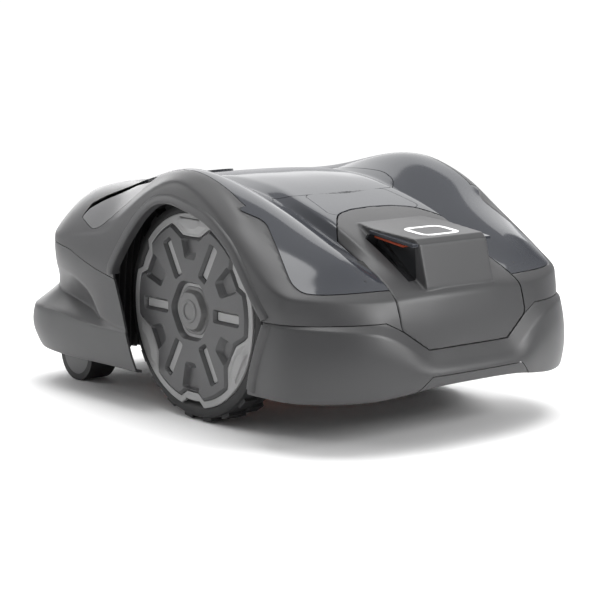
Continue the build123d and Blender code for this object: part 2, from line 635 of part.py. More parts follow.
# ---------------------------------------------------------------- write every node
def main():
    os.makedirs("parts", exist_ok=True)
    nodes, wall, inner = shell_panels()
    nodes["nose_cover"] = nose_cover(wall, inner)
    nodes["hatch_lid"] = nodes["hatch_lid"].fuse(*hatch_arms())
    nodes["top_cover"] = nodes["top_cover"].fuse(*hinge_brackets())
    nodes["main_shell"] = nodes["main_shell"] + stop_guide()
    nodes["hinge_pins"] = hinge_pins()
    nodes["hatch_well"] = hatch_well(inner)
    nodes["shell_sockets"] = shell_sockets(inner)
    nodes["sensor_windows"] = sensor_windows()
    nodes["light_strips"] = light_strips()
    nodes["chassis_tub"] = tub()
    nodes["chassis_lid"] = lid()
    nodes["lid_seal"] = lid_seal()
    nodes["battery_pack"] = block(-60, 60, -250, -120, TUB_FLOOR_Z + WALL, 128)
    nodes["main_board"] = block(-60, 60, 170, 262, 110, 113)
    nodes["control_panel"] = control_panel()
    z = CONSOLE_TOP_Z + 3
    nodes["display"] = block(-34, 34, -30, 28, z, z + 2)
    nodes["front_insert"] = front_insert()
    nodes["charging_contacts"] = charging_contacts()
    nodes["shell_posts"] = shell_posts()
    nodes["chassis_screws"] = chassis_screws()
    nodes["height_guide"] = height_guide()
    nodes["cutter_carriage"] = cutter_carriage()
    nodes["height_screw"] = height_screw()
    nodes["height_motor"] = height_motor()
    nodes["cutter_motor"] = cutter_motor()
    nodes["cutting_disc"] = cutting_disc()
    nodes["blade_screws"] = blade_screws()
    nodes["skid_plate"] = skid_plate()
    nodes["stop_button"] = stop_button()
    nodes["jog_dial"] = jog_dial()
    nodes["start_button"] = start_button()
    for i in range(BLADE_COUNT):
        nodes[f"blade_{i + 1}"] = blade(i)
    for name, side in (("left", 1), ("right", -1)):
        nodes[f"{name}_wheel_motor"] = wheel_motor(side)
        nodes[f"{name}_tyre"] = tyre(side)
        nodes[f"{name}_rim"] = rim(side)
        nodes[f"{name}_ring_plate"] = ring_plate(side)
        nodes[f"{name}_wheel_cover"] = wheel_cover(side)
        nodes[f"{name}_hub_cap"] = hub_cap(side)
        nodes[f"{name}_drive_shaft"] = drive_shaft(side)
        nodes[f"{name}_caster_arm"] = caster_arm(side)
        nodes[f"{name}_caster_axle"] = caster_axle(side)
        nodes[f"{name}_caster_hub"] = caster_hub(side)
        nodes[f"{name}_caster_tyre"] = caster_tyre(side)
    for name, shape in nodes.items():
        export_step(shape if isinstance(shape, Compound) else Compound(shape.solids()),
                    f"parts/{name}.step")


main()
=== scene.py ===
"""Robotic lawn mower: a low machine with a floating plastic shell, a glossy top cover, two large lugged
drive wheels and two swivel casters. Lengths in the lists below are millimetres, with the nose along -Y.
"""

import json
import math
from contextlib import contextmanager

import bmesh
import bpy
from mathutils import Matrix, Vector
from mathutils.bvhtree import BVHTree

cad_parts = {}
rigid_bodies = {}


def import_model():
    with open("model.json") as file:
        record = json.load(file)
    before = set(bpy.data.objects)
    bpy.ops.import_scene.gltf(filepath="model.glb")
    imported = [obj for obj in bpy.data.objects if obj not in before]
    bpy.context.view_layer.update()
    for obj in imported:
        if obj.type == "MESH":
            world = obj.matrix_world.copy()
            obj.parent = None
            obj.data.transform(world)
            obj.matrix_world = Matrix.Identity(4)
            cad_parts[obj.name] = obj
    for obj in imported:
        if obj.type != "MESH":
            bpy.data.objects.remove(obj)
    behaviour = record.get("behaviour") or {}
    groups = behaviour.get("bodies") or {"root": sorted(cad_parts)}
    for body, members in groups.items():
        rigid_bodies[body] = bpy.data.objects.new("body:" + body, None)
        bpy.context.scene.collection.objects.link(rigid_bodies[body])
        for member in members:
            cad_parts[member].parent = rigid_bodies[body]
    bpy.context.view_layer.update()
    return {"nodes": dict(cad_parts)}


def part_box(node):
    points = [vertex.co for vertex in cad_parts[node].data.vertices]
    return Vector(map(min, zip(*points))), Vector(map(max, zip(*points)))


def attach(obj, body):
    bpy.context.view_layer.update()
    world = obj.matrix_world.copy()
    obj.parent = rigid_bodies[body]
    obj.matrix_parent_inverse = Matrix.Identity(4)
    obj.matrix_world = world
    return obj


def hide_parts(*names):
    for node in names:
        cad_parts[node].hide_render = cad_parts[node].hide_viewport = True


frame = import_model()

MM = 0.001
WHEEL_LOW, WHEEL_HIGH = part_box("left_tyre")
WHEEL_Y = (WHEEL_LOW.y + WHEEL_HIGH.y) / 2 / MM
WHEEL_Z = (WHEEL_LOW.z + WHEEL_HIGH.z) / 2 / MM

# ------------------------------------------------------------------------------ camera
# A long lens at about the height of a person kneeling beside the machine, level with its right front
# corner.
camera_data = bpy.data.cameras.new("camera")
camera_data.lens = 120
camera_data.sensor_width = 36
camera_data.clip_end = 60
camera = bpy.data.objects.new("camera", camera_data)
bpy.context.scene.collection.objects.link(camera)
camera.location = (-1.5064, -1.8316, 0.5055)
camera_azimuth = math.radians(-39.53)
camera_elevation = math.radians(9.309)
camera.rotation_euler = (math.pi / 2 - camera_elevation, 0, camera_azimuth)
bpy.context.scene.camera = camera
bpy.context.scene.view_settings.view_transform = "Standard"

# ------------------------------------------------------------------------------ floor and studio
# A white paper sweep and a white background, lit by three soft boxes: overhead, behind on the right side of
# the machine and in front. Three cards give the plastic its highlights and throw no light of their own.


def linear(hex_colour):
    """A '#rrggbb' sRGB colour as linear red, green, blue and alpha."""
    channels = [int(hex_colour[i:i + 2], 16) / 255 for i in (1, 3, 5)]
    return [c / 12.92 if c <= 0.04045 else ((c + 0.055) / 1.055) ** 2.4 for c in channels] + [1.0]


def node(tree, kind, settings=None, links=None):
    """Adds a node, sets its properties and inputs by name, and links its inputs."""
    made = tree.nodes.new(kind)
    for name, value in (settings or {}).items():
        if isinstance(name, str) and hasattr(made, name):
            setattr(made, name, value)
        else:
            made.inputs[name].default_value = value
    for name, output in (links or {}).items():
        tree.links.new(output, made.inputs[name])
    return made


def new_material(name):
    """An empty node material and its tree."""
    material = bpy.data.materials.new(name)
    material.use_nodes = True
    material.node_tree.nodes.clear()
    return material, material.node_tree


LIGHTS_AIM = Vector((0, 0, 0.12))


def soft_box(name, place, size, power, lights=True, reflects=True):
    """A rectangular area light that faces the machine, which can be left out of reflections."""
    data = bpy.data.lights.new(name, "AREA")
    data.shape = "RECTANGLE"
    data.size, data.size_y = size
    data.energy = power
    light = bpy.data.objects.new(name, data)
    bpy.context.scene.collection.objects.link(light)
    light.location = place
    light.visible_diffuse, light.visible_glossy = lights, reflects
    light.rotation_euler = (LIGHTS_AIM - Vector(place)).to_track_quat("-Z", "Y").to_euler()


floor_mesh = bpy.data.meshes.new("floor")
half_floor = 1.6
floor_mesh.from_pydata([(-half_floor, -half_floor, 0), (half_floor, -half_floor, 0),
                        (half_floor, half_floor, 0), (-half_floor, half_floor, 0)], [], [(0, 1, 2, 3)])
floor = bpy.data.objects.new("floor", floor_mesh)
bpy.context.scene.collection.objects.link(floor)
floor_paper, tree = new_material("white_paper_matt")
paper = node(tree, "ShaderNodeBsdfPrincipled", {"Base Color": linear("#f4f4f4"), "Roughness": 0.9})
node(tree, "ShaderNodeOutputMaterial", None, {"Surface": paper.outputs[0]})
floor_mesh.materials.append(floor_paper)

world = bpy.data.worlds.new("studio")
world.use_nodes = True
bpy.context.scene.world = world
tree = world.node_tree
tree.nodes.clear()
direction = node(tree, "ShaderNodeTexCoord")
height = node(tree, "ShaderNodeSeparateXYZ", None, {"Vector": direction.outputs["Generated"]})
band = node(tree, "ShaderNodeValToRGB", None, {"Fac": height.outputs["Z"]})
for stop, (position, grey) in zip((band.color_ramp.elements[0], band.color_ramp.elements[1],
                                   band.color_ramp.elements.new(0.5)),
                                  ((0.12, 0.74), (0.9, 0.12), (0.30, 0.16))):
    stop.position = position
    stop.color = (grey, grey, grey * 1.02, 1)
room = node(tree, "ShaderNodeBackground", {"Strength": 1.0}, {"Color": band.outputs["Color"]})
backdrop = node(tree, "ShaderNodeBackground", {"Color": (1, 1, 1, 1), "Strength": 1.05})
rays = node(tree, "ShaderNodeLightPath")
seen = node(tree, "ShaderNodeMixShader", None, {"Fac": rays.outputs["Is Camera Ray"]})
tree.links.new(room.outputs[0], seen.inputs[1])
tree.links.new(backdrop.outputs[0], seen.inputs[2])
node(tree, "ShaderNodeOutputWorld", None, {"Surface": seen.outputs[0]})

soft_box("overhead_box", (0.25, 0.25, 2.4), (2.6, 2.2), 84, reflects=False)
soft_box("left_box", (-1.7, 2.3, 1.3), (1.0, 1.5), 18)
soft_box("front_box", (1.1, -2.4, 1.4), (1.0, 0.8), 42)
soft_box("tail_card", (0.9, 2.9, 0.75), (1.5, 0.9), 13, lights=False)
soft_box("rear_card", (1.9, 2.3, 2.0), (3.6, 2.6), 40, lights=False)
soft_box("top_card", (-0.3, 0.0, 2.2), (1.2, 0.9), 15, lights=False)

# ------------------------------------------------------------------------------ shell plastic
# ABS with a fine spark-eroded grain from the mould: a dark grey that is satin, not shiny, with a soft
# sheen where it turns towards the light.


def moulded_plastic(name, colour, roughness, grain_mm=0.6, grain_depth=0.05):
    """Moulded plastic with a fine even grain and a slight unevenness in its gloss."""
    material, tree = new_material(name)
    place = node(tree, "ShaderNodeTexCoord").outputs["Object"]
    grain = node(tree, "ShaderNodeTexNoise", {"Scale": 1 / (grain_mm * MM), "Detail": 3.0},
                 {"Vector": place})
    cloud = node(tree, "ShaderNodeTexNoise", {"Scale": 1 / (60 * MM), "Detail": 4.0},
                 {"Vector": place})
    gloss = node(tree, "ShaderNodeMapRange", {"To Min": roughness - 0.05, "To Max": roughness + 0.05},
                 {"Value": cloud.outputs["Fac"]})
    tone = node(tree, "ShaderNodeMapRange", {"To Min": 0.94, "To Max": 1.06},
                {"Value": grain.outputs["Fac"]})
    shade = node(tree, "ShaderNodeVectorMath", {"operation": "SCALE", 0: linear(colour)[:3]},
                 {"Scale": tone.outputs["Result"]})
    bump = node(tree, "ShaderNodeBump", {"Strength": 1.0, "Distance": grain_depth * MM},
                {"Height": grain.outputs["Fac"]})
    surface = node(tree, "ShaderNodeBsdfPrincipled",
                   {"IOR": 1.5},
                   {"Base Color": shade.outputs["Vector"], "Roughness": gloss.outputs["Result"],
                    "Normal": bump.outputs["Normal"]})
    node(tree, "ShaderNodeOutputMaterial", None, {"Surface": surface.outputs[0]})
    return material


shell_plastic = moulded_plastic("abs_spark_eroded_grey", "#373738", 0.40)

# ------------------------------------------------------------------------------ outer form of the shell
# The clay model from which the mould of every outer panel is cut: one smooth skin drawn as a net. Rows run
# from the nose to the tail, and each row from the middle of the deck over the deck's edge, the groove at
# its foot, the haunch and its crest to the fender's outer edge.

TOP_ROWS = [
    [(0, -287, 166), (38, -286, 166), (70, -283, 165), (94, -279, 163), (122, -274, 163),
     (150, -266, 164), (178, -252, 166), (199, -234, 167)],
    [(0, -268, 177), (38, -268, 177), (70, -265, 176), (92, -261, 175), (118, -256, 176),
     (146, -249, 177), (180, -238, 176), (205, -219, 173)],
    [(0, -237, 195), (38, -237, 195), (75, -236, 194), (90, -234, 188), (108, -233, 196),
     (131, -230, 207), (185, -214, 192), (207, -194, 186)],
    [(0, -195, 217), (38, -195, 217), (80, -194, 217), (87, -193, 204), (108, -193, 213),
     (134, -193, 223), (188, -181, 212), (205, -163, 206)],
    [(0, -152, 236), (38, -152, 236), (80, -151, 236), (89, -150, 222), (110, -152, 231),
     (139, -153, 240), (186, -145, 234), (202, -130, 229)],
    [(0, -105, 250), (38, -105, 250), (80, -104, 250), (90, -103, 239), (112, -106, 248),
     (141, -109, 262), (179, -110, 263), (199, -97, 250)],
    [(0, -62, 262), (38, -62, 262), (72, -61, 261), (92, -60, 255), (118, -63, 264),
     (148, -66, 279), (175, -69, 279), (197, -62, 267)],
    [(0, -20, 269), (40, -20, 269), (74, -20, 267), (97, -20, 262), (124, -23, 273),
     (156, -26, 290), (176, -28, 287), (196, -28, 278)],
    [(0, 28, 272), (40, 28, 272), (76, 28, 270), (100, 28, 264), (126, 25, 272), (155, 20, 286),
     (174, 18, 282), (197, 14, 268)],
    [(0, 75, 269), (40, 75, 269), (77, 75, 267), (102, 75, 262), (130, 72, 265), (153, 68, 273),
     (174, 64, 268), (201, 56, 242)],
    [(0, 120, 264), (40, 120, 264), (78, 120, 263), (105, 118, 260), (131, 117, 260),
     (152, 113, 262), (175, 106, 250), (203, 98, 212)],
    [(0, 168, 258), (40, 168, 258), (78, 167, 257), (106, 165, 257), (129, 162, 257),
     (149, 157, 254), (174, 152, 242), (202, 143, 204)],
    [(0, 215, 250), (40, 215, 250), (77, 214, 249), (104, 210, 250), (127, 206, 250),
     (147, 202, 249), (173, 194, 231), (198, 186, 197)],
    [(0, 256, 235), (40, 256, 235), (74, 254, 235), (100, 251, 235), (122, 247, 236),
     (146, 243, 233), (171, 235, 217), (193, 228, 191)],
    [(0, 285, 206), (40, 284, 206), (72, 282, 204), (97, 279, 205), (118, 275, 205),
     (140, 270, 204), (163, 262, 200), (182, 250, 191)],
]
SEAM_FRONT = [(0, -297, 100), (38, -297, 100), (60, -296, 100), (93, -290, 122), (122, -287, 134),
              (151, -277, 134), (178, -259, 134), (200, -234, 134)]
SEAM_SIDE = [(207, -214, 134), (209, -192, 134), (210, -164, 134), (209, -130, 134), (208, -98, 134),
             (208, -63, 134), (208, -28, 134), (208, 14, 136), (208, 56, 138), (208, 96, 140),
             (206, 140, 143), (202, 183, 146), (193, 222, 149)]
SEAM_REAR = [(179, 252, 150), (162, 269, 152), (142, 281, 153), (121, 287, 154), (98, 289, 155),
             (72, 292, 155), (40, 293, 155), (0, 293, 155)]


def linked(name, data):
    """A new object in the scene that shows a mesh."""
    made = bpy.data.objects.new(name, data)
    bpy.context.scene.collection.objects.link(made)
    return made


def poured(mesh, name):
    """Ends a mesh under construction, and shows it as an object."""
    data = bpy.data.meshes.new(name)
    mesh.to_mesh(data)
    mesh.free()
    return linked(name, data)


@contextmanager
def editing(made):
    """Opens an object's mesh for changes, and writes them back."""
    mesh = bmesh.new()
    mesh.from_mesh(made.data)
    yield mesh
    mesh.to_mesh(made.data)
    mesh.free()


def cage(name, vertices, faces, creases=None, levels=3, mirrored=True):
    """A subdivided sheet from millimetre points, mirrored across the middle when asked."""
    mesh = bpy.data.meshes.new(name)
    mesh.from_pydata([Vector(v) * MM for v in vertices], [], faces)
    if creases:
        layer = mesh.attributes.new("crease_edge", "FLOAT", "EDGE")
        for edge in mesh.edges:
            layer.data[edge.index].value = creases.get(frozenset(edge.vertices), 0.0)
    made = linked(name, mesh)
    if mirrored:
        mirror = made.modifiers.new("mirror", "MIRROR")
        mirror.merge_threshold = 0.0005
        mirror.use_clip = True
    smooth = made.modifiers.new("smooth", "SUBSURF")
    smooth.levels = smooth.render_levels = levels
    return made


def bake(made):
    """Turns an object's modifiers into a plain mesh."""
    bpy.context.view_layer.update()
    graph = bpy.context.evaluated_depsgraph_get()
    mesh = bpy.data.meshes.new_from_object(made.evaluated_get(graph), depsgraph=graph)
    made.modifiers.clear()
    old = made.data
    made.data = mesh
    bpy.data.meshes.remove(old)
    return made


def face_outwards(made):
    """Turns every face of a closed mesh outwards."""
    with editing(made) as mesh:
        bmesh.ops.recalc_face_normals(mesh, faces=mesh.faces)
    return made


def thicken(made, wall=3.0):
    """Gives a sheet its wall, grown inwards."""
    solid = made.modifiers.new("wall", "SOLIDIFY")
    solid.thickness = wall * MM
    solid.offset = -1
    return bake(made)


def copy_of(made, name):
    """A second object with its own copy of a mesh."""
    return linked(name, made.data.copy())


def stacked(first, second):
    """A closed block between two rings of as many millimetre points."""
    mesh = bmesh.new()
    rings = [[mesh.verts.new(point * MM) for point in ring] for ring in (first, second)]
    mesh.faces.new(rings[0])
    mesh.faces.new(rings[1])
    for i in range(len(first)):
        j = (i + 1) % len(first)
        mesh.faces.new((rings[0][i], rings[0][j], rings[1][j], rings[1][i]))
    bmesh.ops.recalc_face_normals(mesh, faces=mesh.faces)
    return poured(mesh, "block")


def prism(outline, axis, low, high):
    """A block from an outline: axis 'x' takes (y, z) points, 'y' (x, z) and 'z' (x, y)."""
    turn = {"x": lambda u, v, w: (w, u, v), "y": lambda u, v, w: (u, w, v), "z": lambda u, v, w: (u, v, w)}
    place = turn[axis]
    return stacked(*[[Vector(place(u, v, w)) for u, v in outline] for w in (low, high)])


def combine(made, tools, operation="DIFFERENCE"):
    """Cuts the tools from an object, or keeps or adds what they share, and throws the tools away."""
    for tool in tools:
        change = made.modifiers.new("cut", "BOOLEAN")
        change.operation = operation
        change.solver = "MANIFOLD"
        change.object = tool
        bake(made)
        bpy.data.objects.remove(tool)
    return made


def rounded(corners, radius, steps=4):
    """An outline with a small arc at each corner; a corner's third value is its own radius."""
    points = []
    count = len(corners)
    for i, corner in enumerate(corners):
        here = Vector(corner[:2])
        before, after = Vector(corners[i - 1][:2]), Vector(corners[(i + 1) % count][:2])
        reach = corner[2] if len(corner) > 2 else radius
        into, out = before - here, after - here
        size = min(reach, into.length * 0.45, out.length * 0.45)
        start, end = here + into.normalized() * size, here + out.normalized() * size
        for s in range(steps + 1):
            t = s / steps
            points.append(tuple((1 - t) ** 2 * start + 2 * t * (1 - t) * here + t * t * end))
    return points


def both_halves(half):
    """A full outline from its right half, which starts and ends at x = 0."""
    return half + [(-p[0],) + tuple(p[1:]) for p in reversed(half) if p[0] > 0.01]


def grown(outline, amount):
    """An outline moved outwards by an amount, square to its edges."""
    area = sum(a[0] * b[1] - b[0] * a[1] for a, b in zip(outline, outline[1:] + outline[:1]))
    sign = 1 if area > 0 else -1
    count = len(outline)
    moved = []
    for i in range(count):
        before = Vector(outline[i]) - Vector(outline[i - 1])
        after = Vector(outline[(i + 1) % count]) - Vector(outline[i])
        normals = [Vector((e.y, -e.x)).normalized() * sign for e in (before, after) if e.length > 1e-6]
        middle = sum(normals, Vector((0, 0)))
        if middle.length < 1e-6:
            middle = normals[0]
        middle.normalize()
        lean = max(0.4, middle.dot(normals[0]))
        moved.append(tuple(Vector(outline[i]) + middle * (amount / lean)))
    return moved


def outer_form():
    """The skin above the bumpers: the top net and a wall down past the lower seam."""
    rows, columns = len(TOP_ROWS), len(TOP_ROWS[0])
    vertices = [p for row in TOP_ROWS for p in row]
    faces = [(r * columns + c, r * columns + c + 1, (r + 1) * columns + c + 1, (r + 1) * columns + c)
             for r in range(rows - 1) for c in range(columns - 1)]
    rim = list(range(columns))
    rim += [r * columns + columns - 1 for r in range(1, rows - 1)]
    rim += [(rows - 1) * columns + c for c in reversed(range(columns))]
    seam = SEAM_FRONT + SEAM_SIDE + SEAM_REAR
    above = rim
    bulge_reach, full_bulge_drop, side_from = 7.0, 130, 150
    for share in (0.12, 0.5, 0.85, 1.0):
        below = []
        for top_index, low in zip(rim, seam):
            top = Vector(vertices[top_index])
            point = top.lerp(Vector(low), share)
            outward = Vector((point.x, 0, 0)) if abs(point.x) > side_from else Vector((0, point.y, 0))
            drop = min(1.0, (top.z - low[2]) / full_bulge_drop)
            point += outward.normalized() * drop * bulge_reach * math.sin(math.pi * share)
            below.append(len(vertices))
            vertices.append(tuple(point))
        faces += [(above[i], below[i], below[i + 1], above[i + 1]) for i in range(len(rim) - 1)]
        above = below
    creases = {}
    foot, seam_line, fender = 3, columns - 2, columns - 1
    for r in range(1, rows - 4):
        creases[frozenset((r * columns + foot, (r + 1) * columns + foot))] = 0.6
        creases[frozenset((r * columns + foot - 1, (r + 1) * columns + foot - 1))] = 0.5
    for r in range(4, rows - 5):
        creases[frozenset((r * columns + fender, (r + 1) * columns + fender))] = 0.35
        creases[frozenset((r * columns + seam_line, (r + 1) * columns + seam_line))] = 0.3
    return cage("outer_form", vertices, faces, creases)


form = face_outwards(bake(outer_form()))
form_tree = BVHTree.FromObject(form, bpy.context.evaluated_depsgraph_get())
wall = thicken(form)

ARCH = [(-152, 20), (-170, 64, 20), (-198, 139, 5), (-167, 175, 60), (-134, 209, 50), (-90, 234, 40),
        (-56, 243, 30), (-20, 249.5, 22), (8, 246, 22), (32, 229, 30), (57, 200, 30), (83, 164, 12),
        (82, 154, 6), (62, 107, 30), (45, 50, 20), (38, 20)]
NOSE = [(0, 60), (59, 60), (59, 106, 3), (93, 130, 5), (94, 162, 8), (90, 178, 10), (84, 230, 4), (84, 330),
        (0, 330)]
SHOULDER = [(-360, 171), (-249, 171, 8), (-236, 173, 8), (-222, 181, 12), (-191, 208, 30), (-146, 239, 30),
            (-119, 252, 5), (-122, 264, 5), (-112, 270, 7), (-109, 330), (-360, 330)]
CROWN = [(0, -200), (150, -200), (172, -114, 6), (171, -30, 14), (168, 40, 14), (152, 112, 14),
         (118, 140, 8), (0, 140)]
HATCH = [(0, -94, 60), (44, -86, 8), (74, -85, 6), (104, -56, 8), (112, -30, 30), (112, 90, 16),
         (98, 118, 8), (0, 118)]
PLATE = [(0, -144), (60, -144, 4), (68, -138, 4), (61, -90, 4), (54, -86, 4), (0, -86)]
INSERT = [(40, 268), (84, 259.5, 10), (150, 236, 10), (172, 225, 3), (179, 215, 4), (136, 205.5, 6),
          (121, 210, 8), (70, 246, 20)]
NOSE_REAR = [(0, -132), (30, -134), (58, -142, 12), (84, -172, 10), (100, -200), (100, -380), (0, -380)]


def nose_tool(grow):
    """The space that belongs to the nose cover."""
    plan = rounded(both_halves(NOSE_REAR), 2)
    tool = prism(grown(plan, grow), "z", 40, 340)
    return combine(tool, [prism(grown(rounded(both_halves(NOSE), 1), grow), "y", -400, -100)],
                   "INTERSECT")


def cover_tool(grow):
    """The space that belongs to the top cover: both shoulders, the crests and the deck."""
    front = prism(grown(rounded(SHOULDER, 1), grow), "x", -260, 260)
    middle = prism(grown(rounded(both_halves(CROWN), 1), grow), "z", 196, 340)
    return combine(front, [middle], "UNION")


GAP = 0.9
ARCH_NEAR, ARCH_FAR = 140, 260
for side in (-1, 1):
    combine(wall, [prism(rounded(ARCH, 1, 6), "x", *sorted((side * ARCH_NEAR, side * ARCH_FAR)))])

# ------------------------------------------------------------------------------ panels of the shell
# The ABS mouldings cut from the one form along their seams, a little under a millimetre apart.
# The fenders and tail are satin, and the cover, lid and shoulders are high gloss.


def pieces_of(mesh):
    """The vertex numbers of each loose part of a mesh."""
    mesh.verts.ensure_lookup_table()
    seen, groups = set(), []
    for start in mesh.verts:
        if start.index in seen:
            continue
        stack, group = [start], []
        seen.add(start.index)
        while stack:
            vertex = stack.pop()
            group.append(vertex.index)
            for edge in vertex.link_edges:
                other = edge.other_vert(vertex)
                if other.index not in seen:
                    seen.add(other.index)
                    stack.append(other)
        groups.append(group)
    return groups


def drop_scraps(made, least=200):
    """Removes loose parts with fewer vertices than a real panel has."""
    with editing(made) as mesh:
        scraps = {i for g in pieces_of(mesh) if len(g) < least for i in g}
        bmesh.ops.delete(mesh, geom=[mesh.verts[i] for i in scraps], context="VERTS")
    return made


def finish_panel(made, name, material, body, nodes, edge=0.5, angle=35):
    """Rounds a panel's cut edges, shades it smooth, and hands it to its body."""
    made.name = made.data.name = name
    with editing(made) as mesh:
        bmesh.ops.remove_doubles(mesh, verts=mesh.verts, dist=0.02 * MM)
        bmesh.ops.dissolve_degenerate(mesh, edges=mesh.edges, dist=0.02 * MM)
        for face in mesh.faces:
            face.smooth = True
        for e in mesh.edges:
            e.smooth = not (e.is_manifold and e.calc_face_angle(0.0) > math.radians(angle))
    made.data.materials.clear()
    made.data.materials.append(material)
    if edge:
        bevel = made.modifiers.new("edge", "BEVEL")
        bevel.width = edge * MM
        bevel.segments = 2
        bevel.limit_method = "ANGLE"
        bevel.angle_limit = math.radians(50)
        bevel.harden_normals = False
    weighted = made.modifiers.new("shading", "WEIGHTED_NORMAL")
    weighted.keep_sharp = True
    bake(made)
    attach(made, body)
    if nodes:
        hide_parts(*nodes)
    return made


DIP = [(-260, 0), (-260, 140), (-112, 139.5), (-93, 129.8), (-59, 106), (59, 106), (93, 129.8), (112, 139.5),
       (260, 140), (260, 0)]
REAR_SEAM = [(20, 0), (20, 152), (83, 154), (120, 160.5), (154, 168.5), (187, 177), (238, 181), (400, 183.5),
             (400, 0)]
combine(wall, [prism(DIP, "y", -400, -120), prism(REAR_SEAM, "x", -260, 260)])

cover = combine(copy_of(wall, "cover"), [cover_tool(0)], "INTERSECT")
nose = combine(copy_of(wall, "nose"), [nose_tool(0)], "INTERSECT")
combine(cover, [nose_tool(GAP)])
plate_outline = rounded(both_halves(PLATE), 1)
hatch_outline = rounded(both_halves(HATCH), 1)
plate = combine(copy_of(cover, "plate"), [prism(plate_outline, "z", 200, 340)], "INTERSECT")
lid = combine(copy_of(cover, "lid"), [prism(hatch_outline, "z", 200, 340)], "INTERSECT")
combine(cover, [prism(grown(plate_outline, 0.6), "z", 200, 340),
                prism(grown(hatch_outline, GAP), "z", 200, 340),
                prism([(-98, 100), (98, 100), (98, 120), (-98, 120)], "z", 200, 340)])

fenders = copy_of(wall, "fenders")
insert_outline = rounded(INSERT, 1)
insert_hole = rounded([(40, 273), (84, 264.5), (151, 241.5, 8), (175, 230.5, 2), (176, 225.5, 3),
                       (180, 215, 3)] + INSERT[5:], 1)
inserts = combine(copy_of(wall, "inserts"),
                  [prism(insert_outline, "x", -240, -120)], "INTERSECT")
twin = combine(copy_of(wall, "twin"), [prism(insert_outline, "x", 120, 240)], "INTERSECT")
combine(inserts, [twin], "UNION")
combine(fenders, [cover_tool(GAP), nose_tool(GAP),
                  prism(grown(insert_hole, 0.7), "x", -240, -120),
                  prism(grown(insert_hole, 0.7), "x", 120, 240)])
combine(inserts, [cover_tool(GAP)])

# the stop button's hole leans with the deck behind the hatch, and has a raised collar
STOP_PLACE = Matrix.Translation(Vector((0, 170, 254.8)) * MM) @ Matrix.Rotation(math.radians(-9.35), 4, "X")


def ring_points(radius, steps=64):
    """A circle's points round the origin."""
    return [(radius * math.cos(math.tau * i / steps), radius * math.sin(math.tau * i / steps))
            for i in range(steps)]


def stop_drum(radius, low, high):
    """A drum on the stop button's axis."""
    drum = prism(ring_points(radius), "z", low, high)
    drum.data.transform(STOP_PLACE)
    return drum


combine(fenders, [stop_drum(25.4, -30, 30)])
collar = combine(stop_drum(29, -3, 4.6), [stop_drum(25.2, -30, 30)])

gloss_cover = moulded_plastic("abs_high_gloss_slate", "#303237", 0.10, grain_depth=0.004)

finish_panel(drop_scraps(fenders), "body_shell", shell_plastic, "shell", ["main_shell"])
finish_panel(collar, "stop_collar", gloss_cover, "shell", [], edge=0.8)
finish_panel(drop_scraps(cover), "glossy_cover", gloss_cover, "shell", ["top_cover"])
finish_panel(drop_scraps(plate, 30), "plain_badge_plate", gloss_cover, "shell",
             ["name_plate"])
lid = drop_scraps(lid, 30)
ARM = [(103, 263.5), (112, 262.5), (112, 235), (134.7, 235), (134.7, 252.6), (141.3, 252.6), (141.3, 229),
       (108, 229), (103, 234)]
for near, far in ((44, 52), (-52, -44)):
    combine(lid, [prism(ARM, "x", near, far),
                  prism([(138 + u, 252.6 + v) for u, v in ring_points(3.3, 16)], "x", near, far)], "UNION")
finish_panel(lid, "control_hatch", gloss_cover, "hatch", ["hatch_lid"])
light_plastic = moulded_plastic("abs_satin_pale_grey", "#5e5e5f", 0.36)
finish_panel(drop_scraps(inserts, 30), "haunch_inserts", light_plastic, "shell",
             ["rear_inserts"])
bpy.data.objects.remove(wall)

# ------------------------------------------------------------------------------ sensor nose
# The nose is one satin moulding with a raised block that looks both ways through a slanted window. Inside
# each window is a dark pane with an orange light strip under its eave. The badge is a plain white ring.

BLOCK = [(-279, 166), (-282, 169), (-269, 216), (-262, 221.5), (-230, 224.5), (-168, 230.5), (-160, 228),
         (-168, 223), (-215, 203), (-268, 174)]
BLOCK_PLAN = [(0, -300), (50, -300), (50.5, -272), (56, -200), (50, -166, 6), (36, -150, 6), (0, -150)]
WINDOW = [(-197, 222), (-263, 213, 1.5), (-265.5, 170, 3), (-260, 167.5, 2), (-186, 205, 3)]

block = prism(BLOCK, "x", -80, 80)
combine(block, [prism(rounded(both_halves(BLOCK_PLAN), 2), "z", 120, 300)], "INTERSECT")
soften = block.modifiers.new("soft", "BEVEL")
soften.width = 3.6 * MM
soften.segments = 3
soften.limit_method = "ANGLE"
soften.angle_limit = math.radians(25)
bake(block)
nose = combine(drop_scraps(nose, 30), [block], "UNION")
voxels = nose.modifiers.new("clay", "REMESH")
voxels.mode = "VOXEL"
voxels.voxel_size = 1.25 * MM
relax = nose.modifiers.new("relax", "SMOOTH")
relax.factor = 0.5
relax.iterations = 5
bake(nose)
for sign in (-1, 1):
    reach = sorted((sign * 41, sign * 62))
    combine(nose, [prism(rounded(WINDOW, 0.5), "x", *reach)])
finish_panel(nose, "sensor_nose", shell_plastic, "shell", ["nose_cover"], edge=0)

pane_glass = moulded_plastic("smoked_acrylic_pane", "#2f3032", 0.16, grain_depth=0.002)
orange_glow, tree = new_material("orange_light_guide")
glow = node(tree, "ShaderNodeBsdfPrincipled",
            {"Base Color": linear("#a84a30"), "Roughness": 0.3, "Emission Color": linear("#c04a28"),
             "Emission Strength": 0.06})
node(tree, "ShaderNodeOutputMaterial", None, {"Surface": glow.outputs[0]})

panes = strips = None


def slab(side, outline, near, far):
    """A block on one side of the nose, between two distances from its middle."""
    return prism(outline, "x", *sorted((side * near, side * far)))


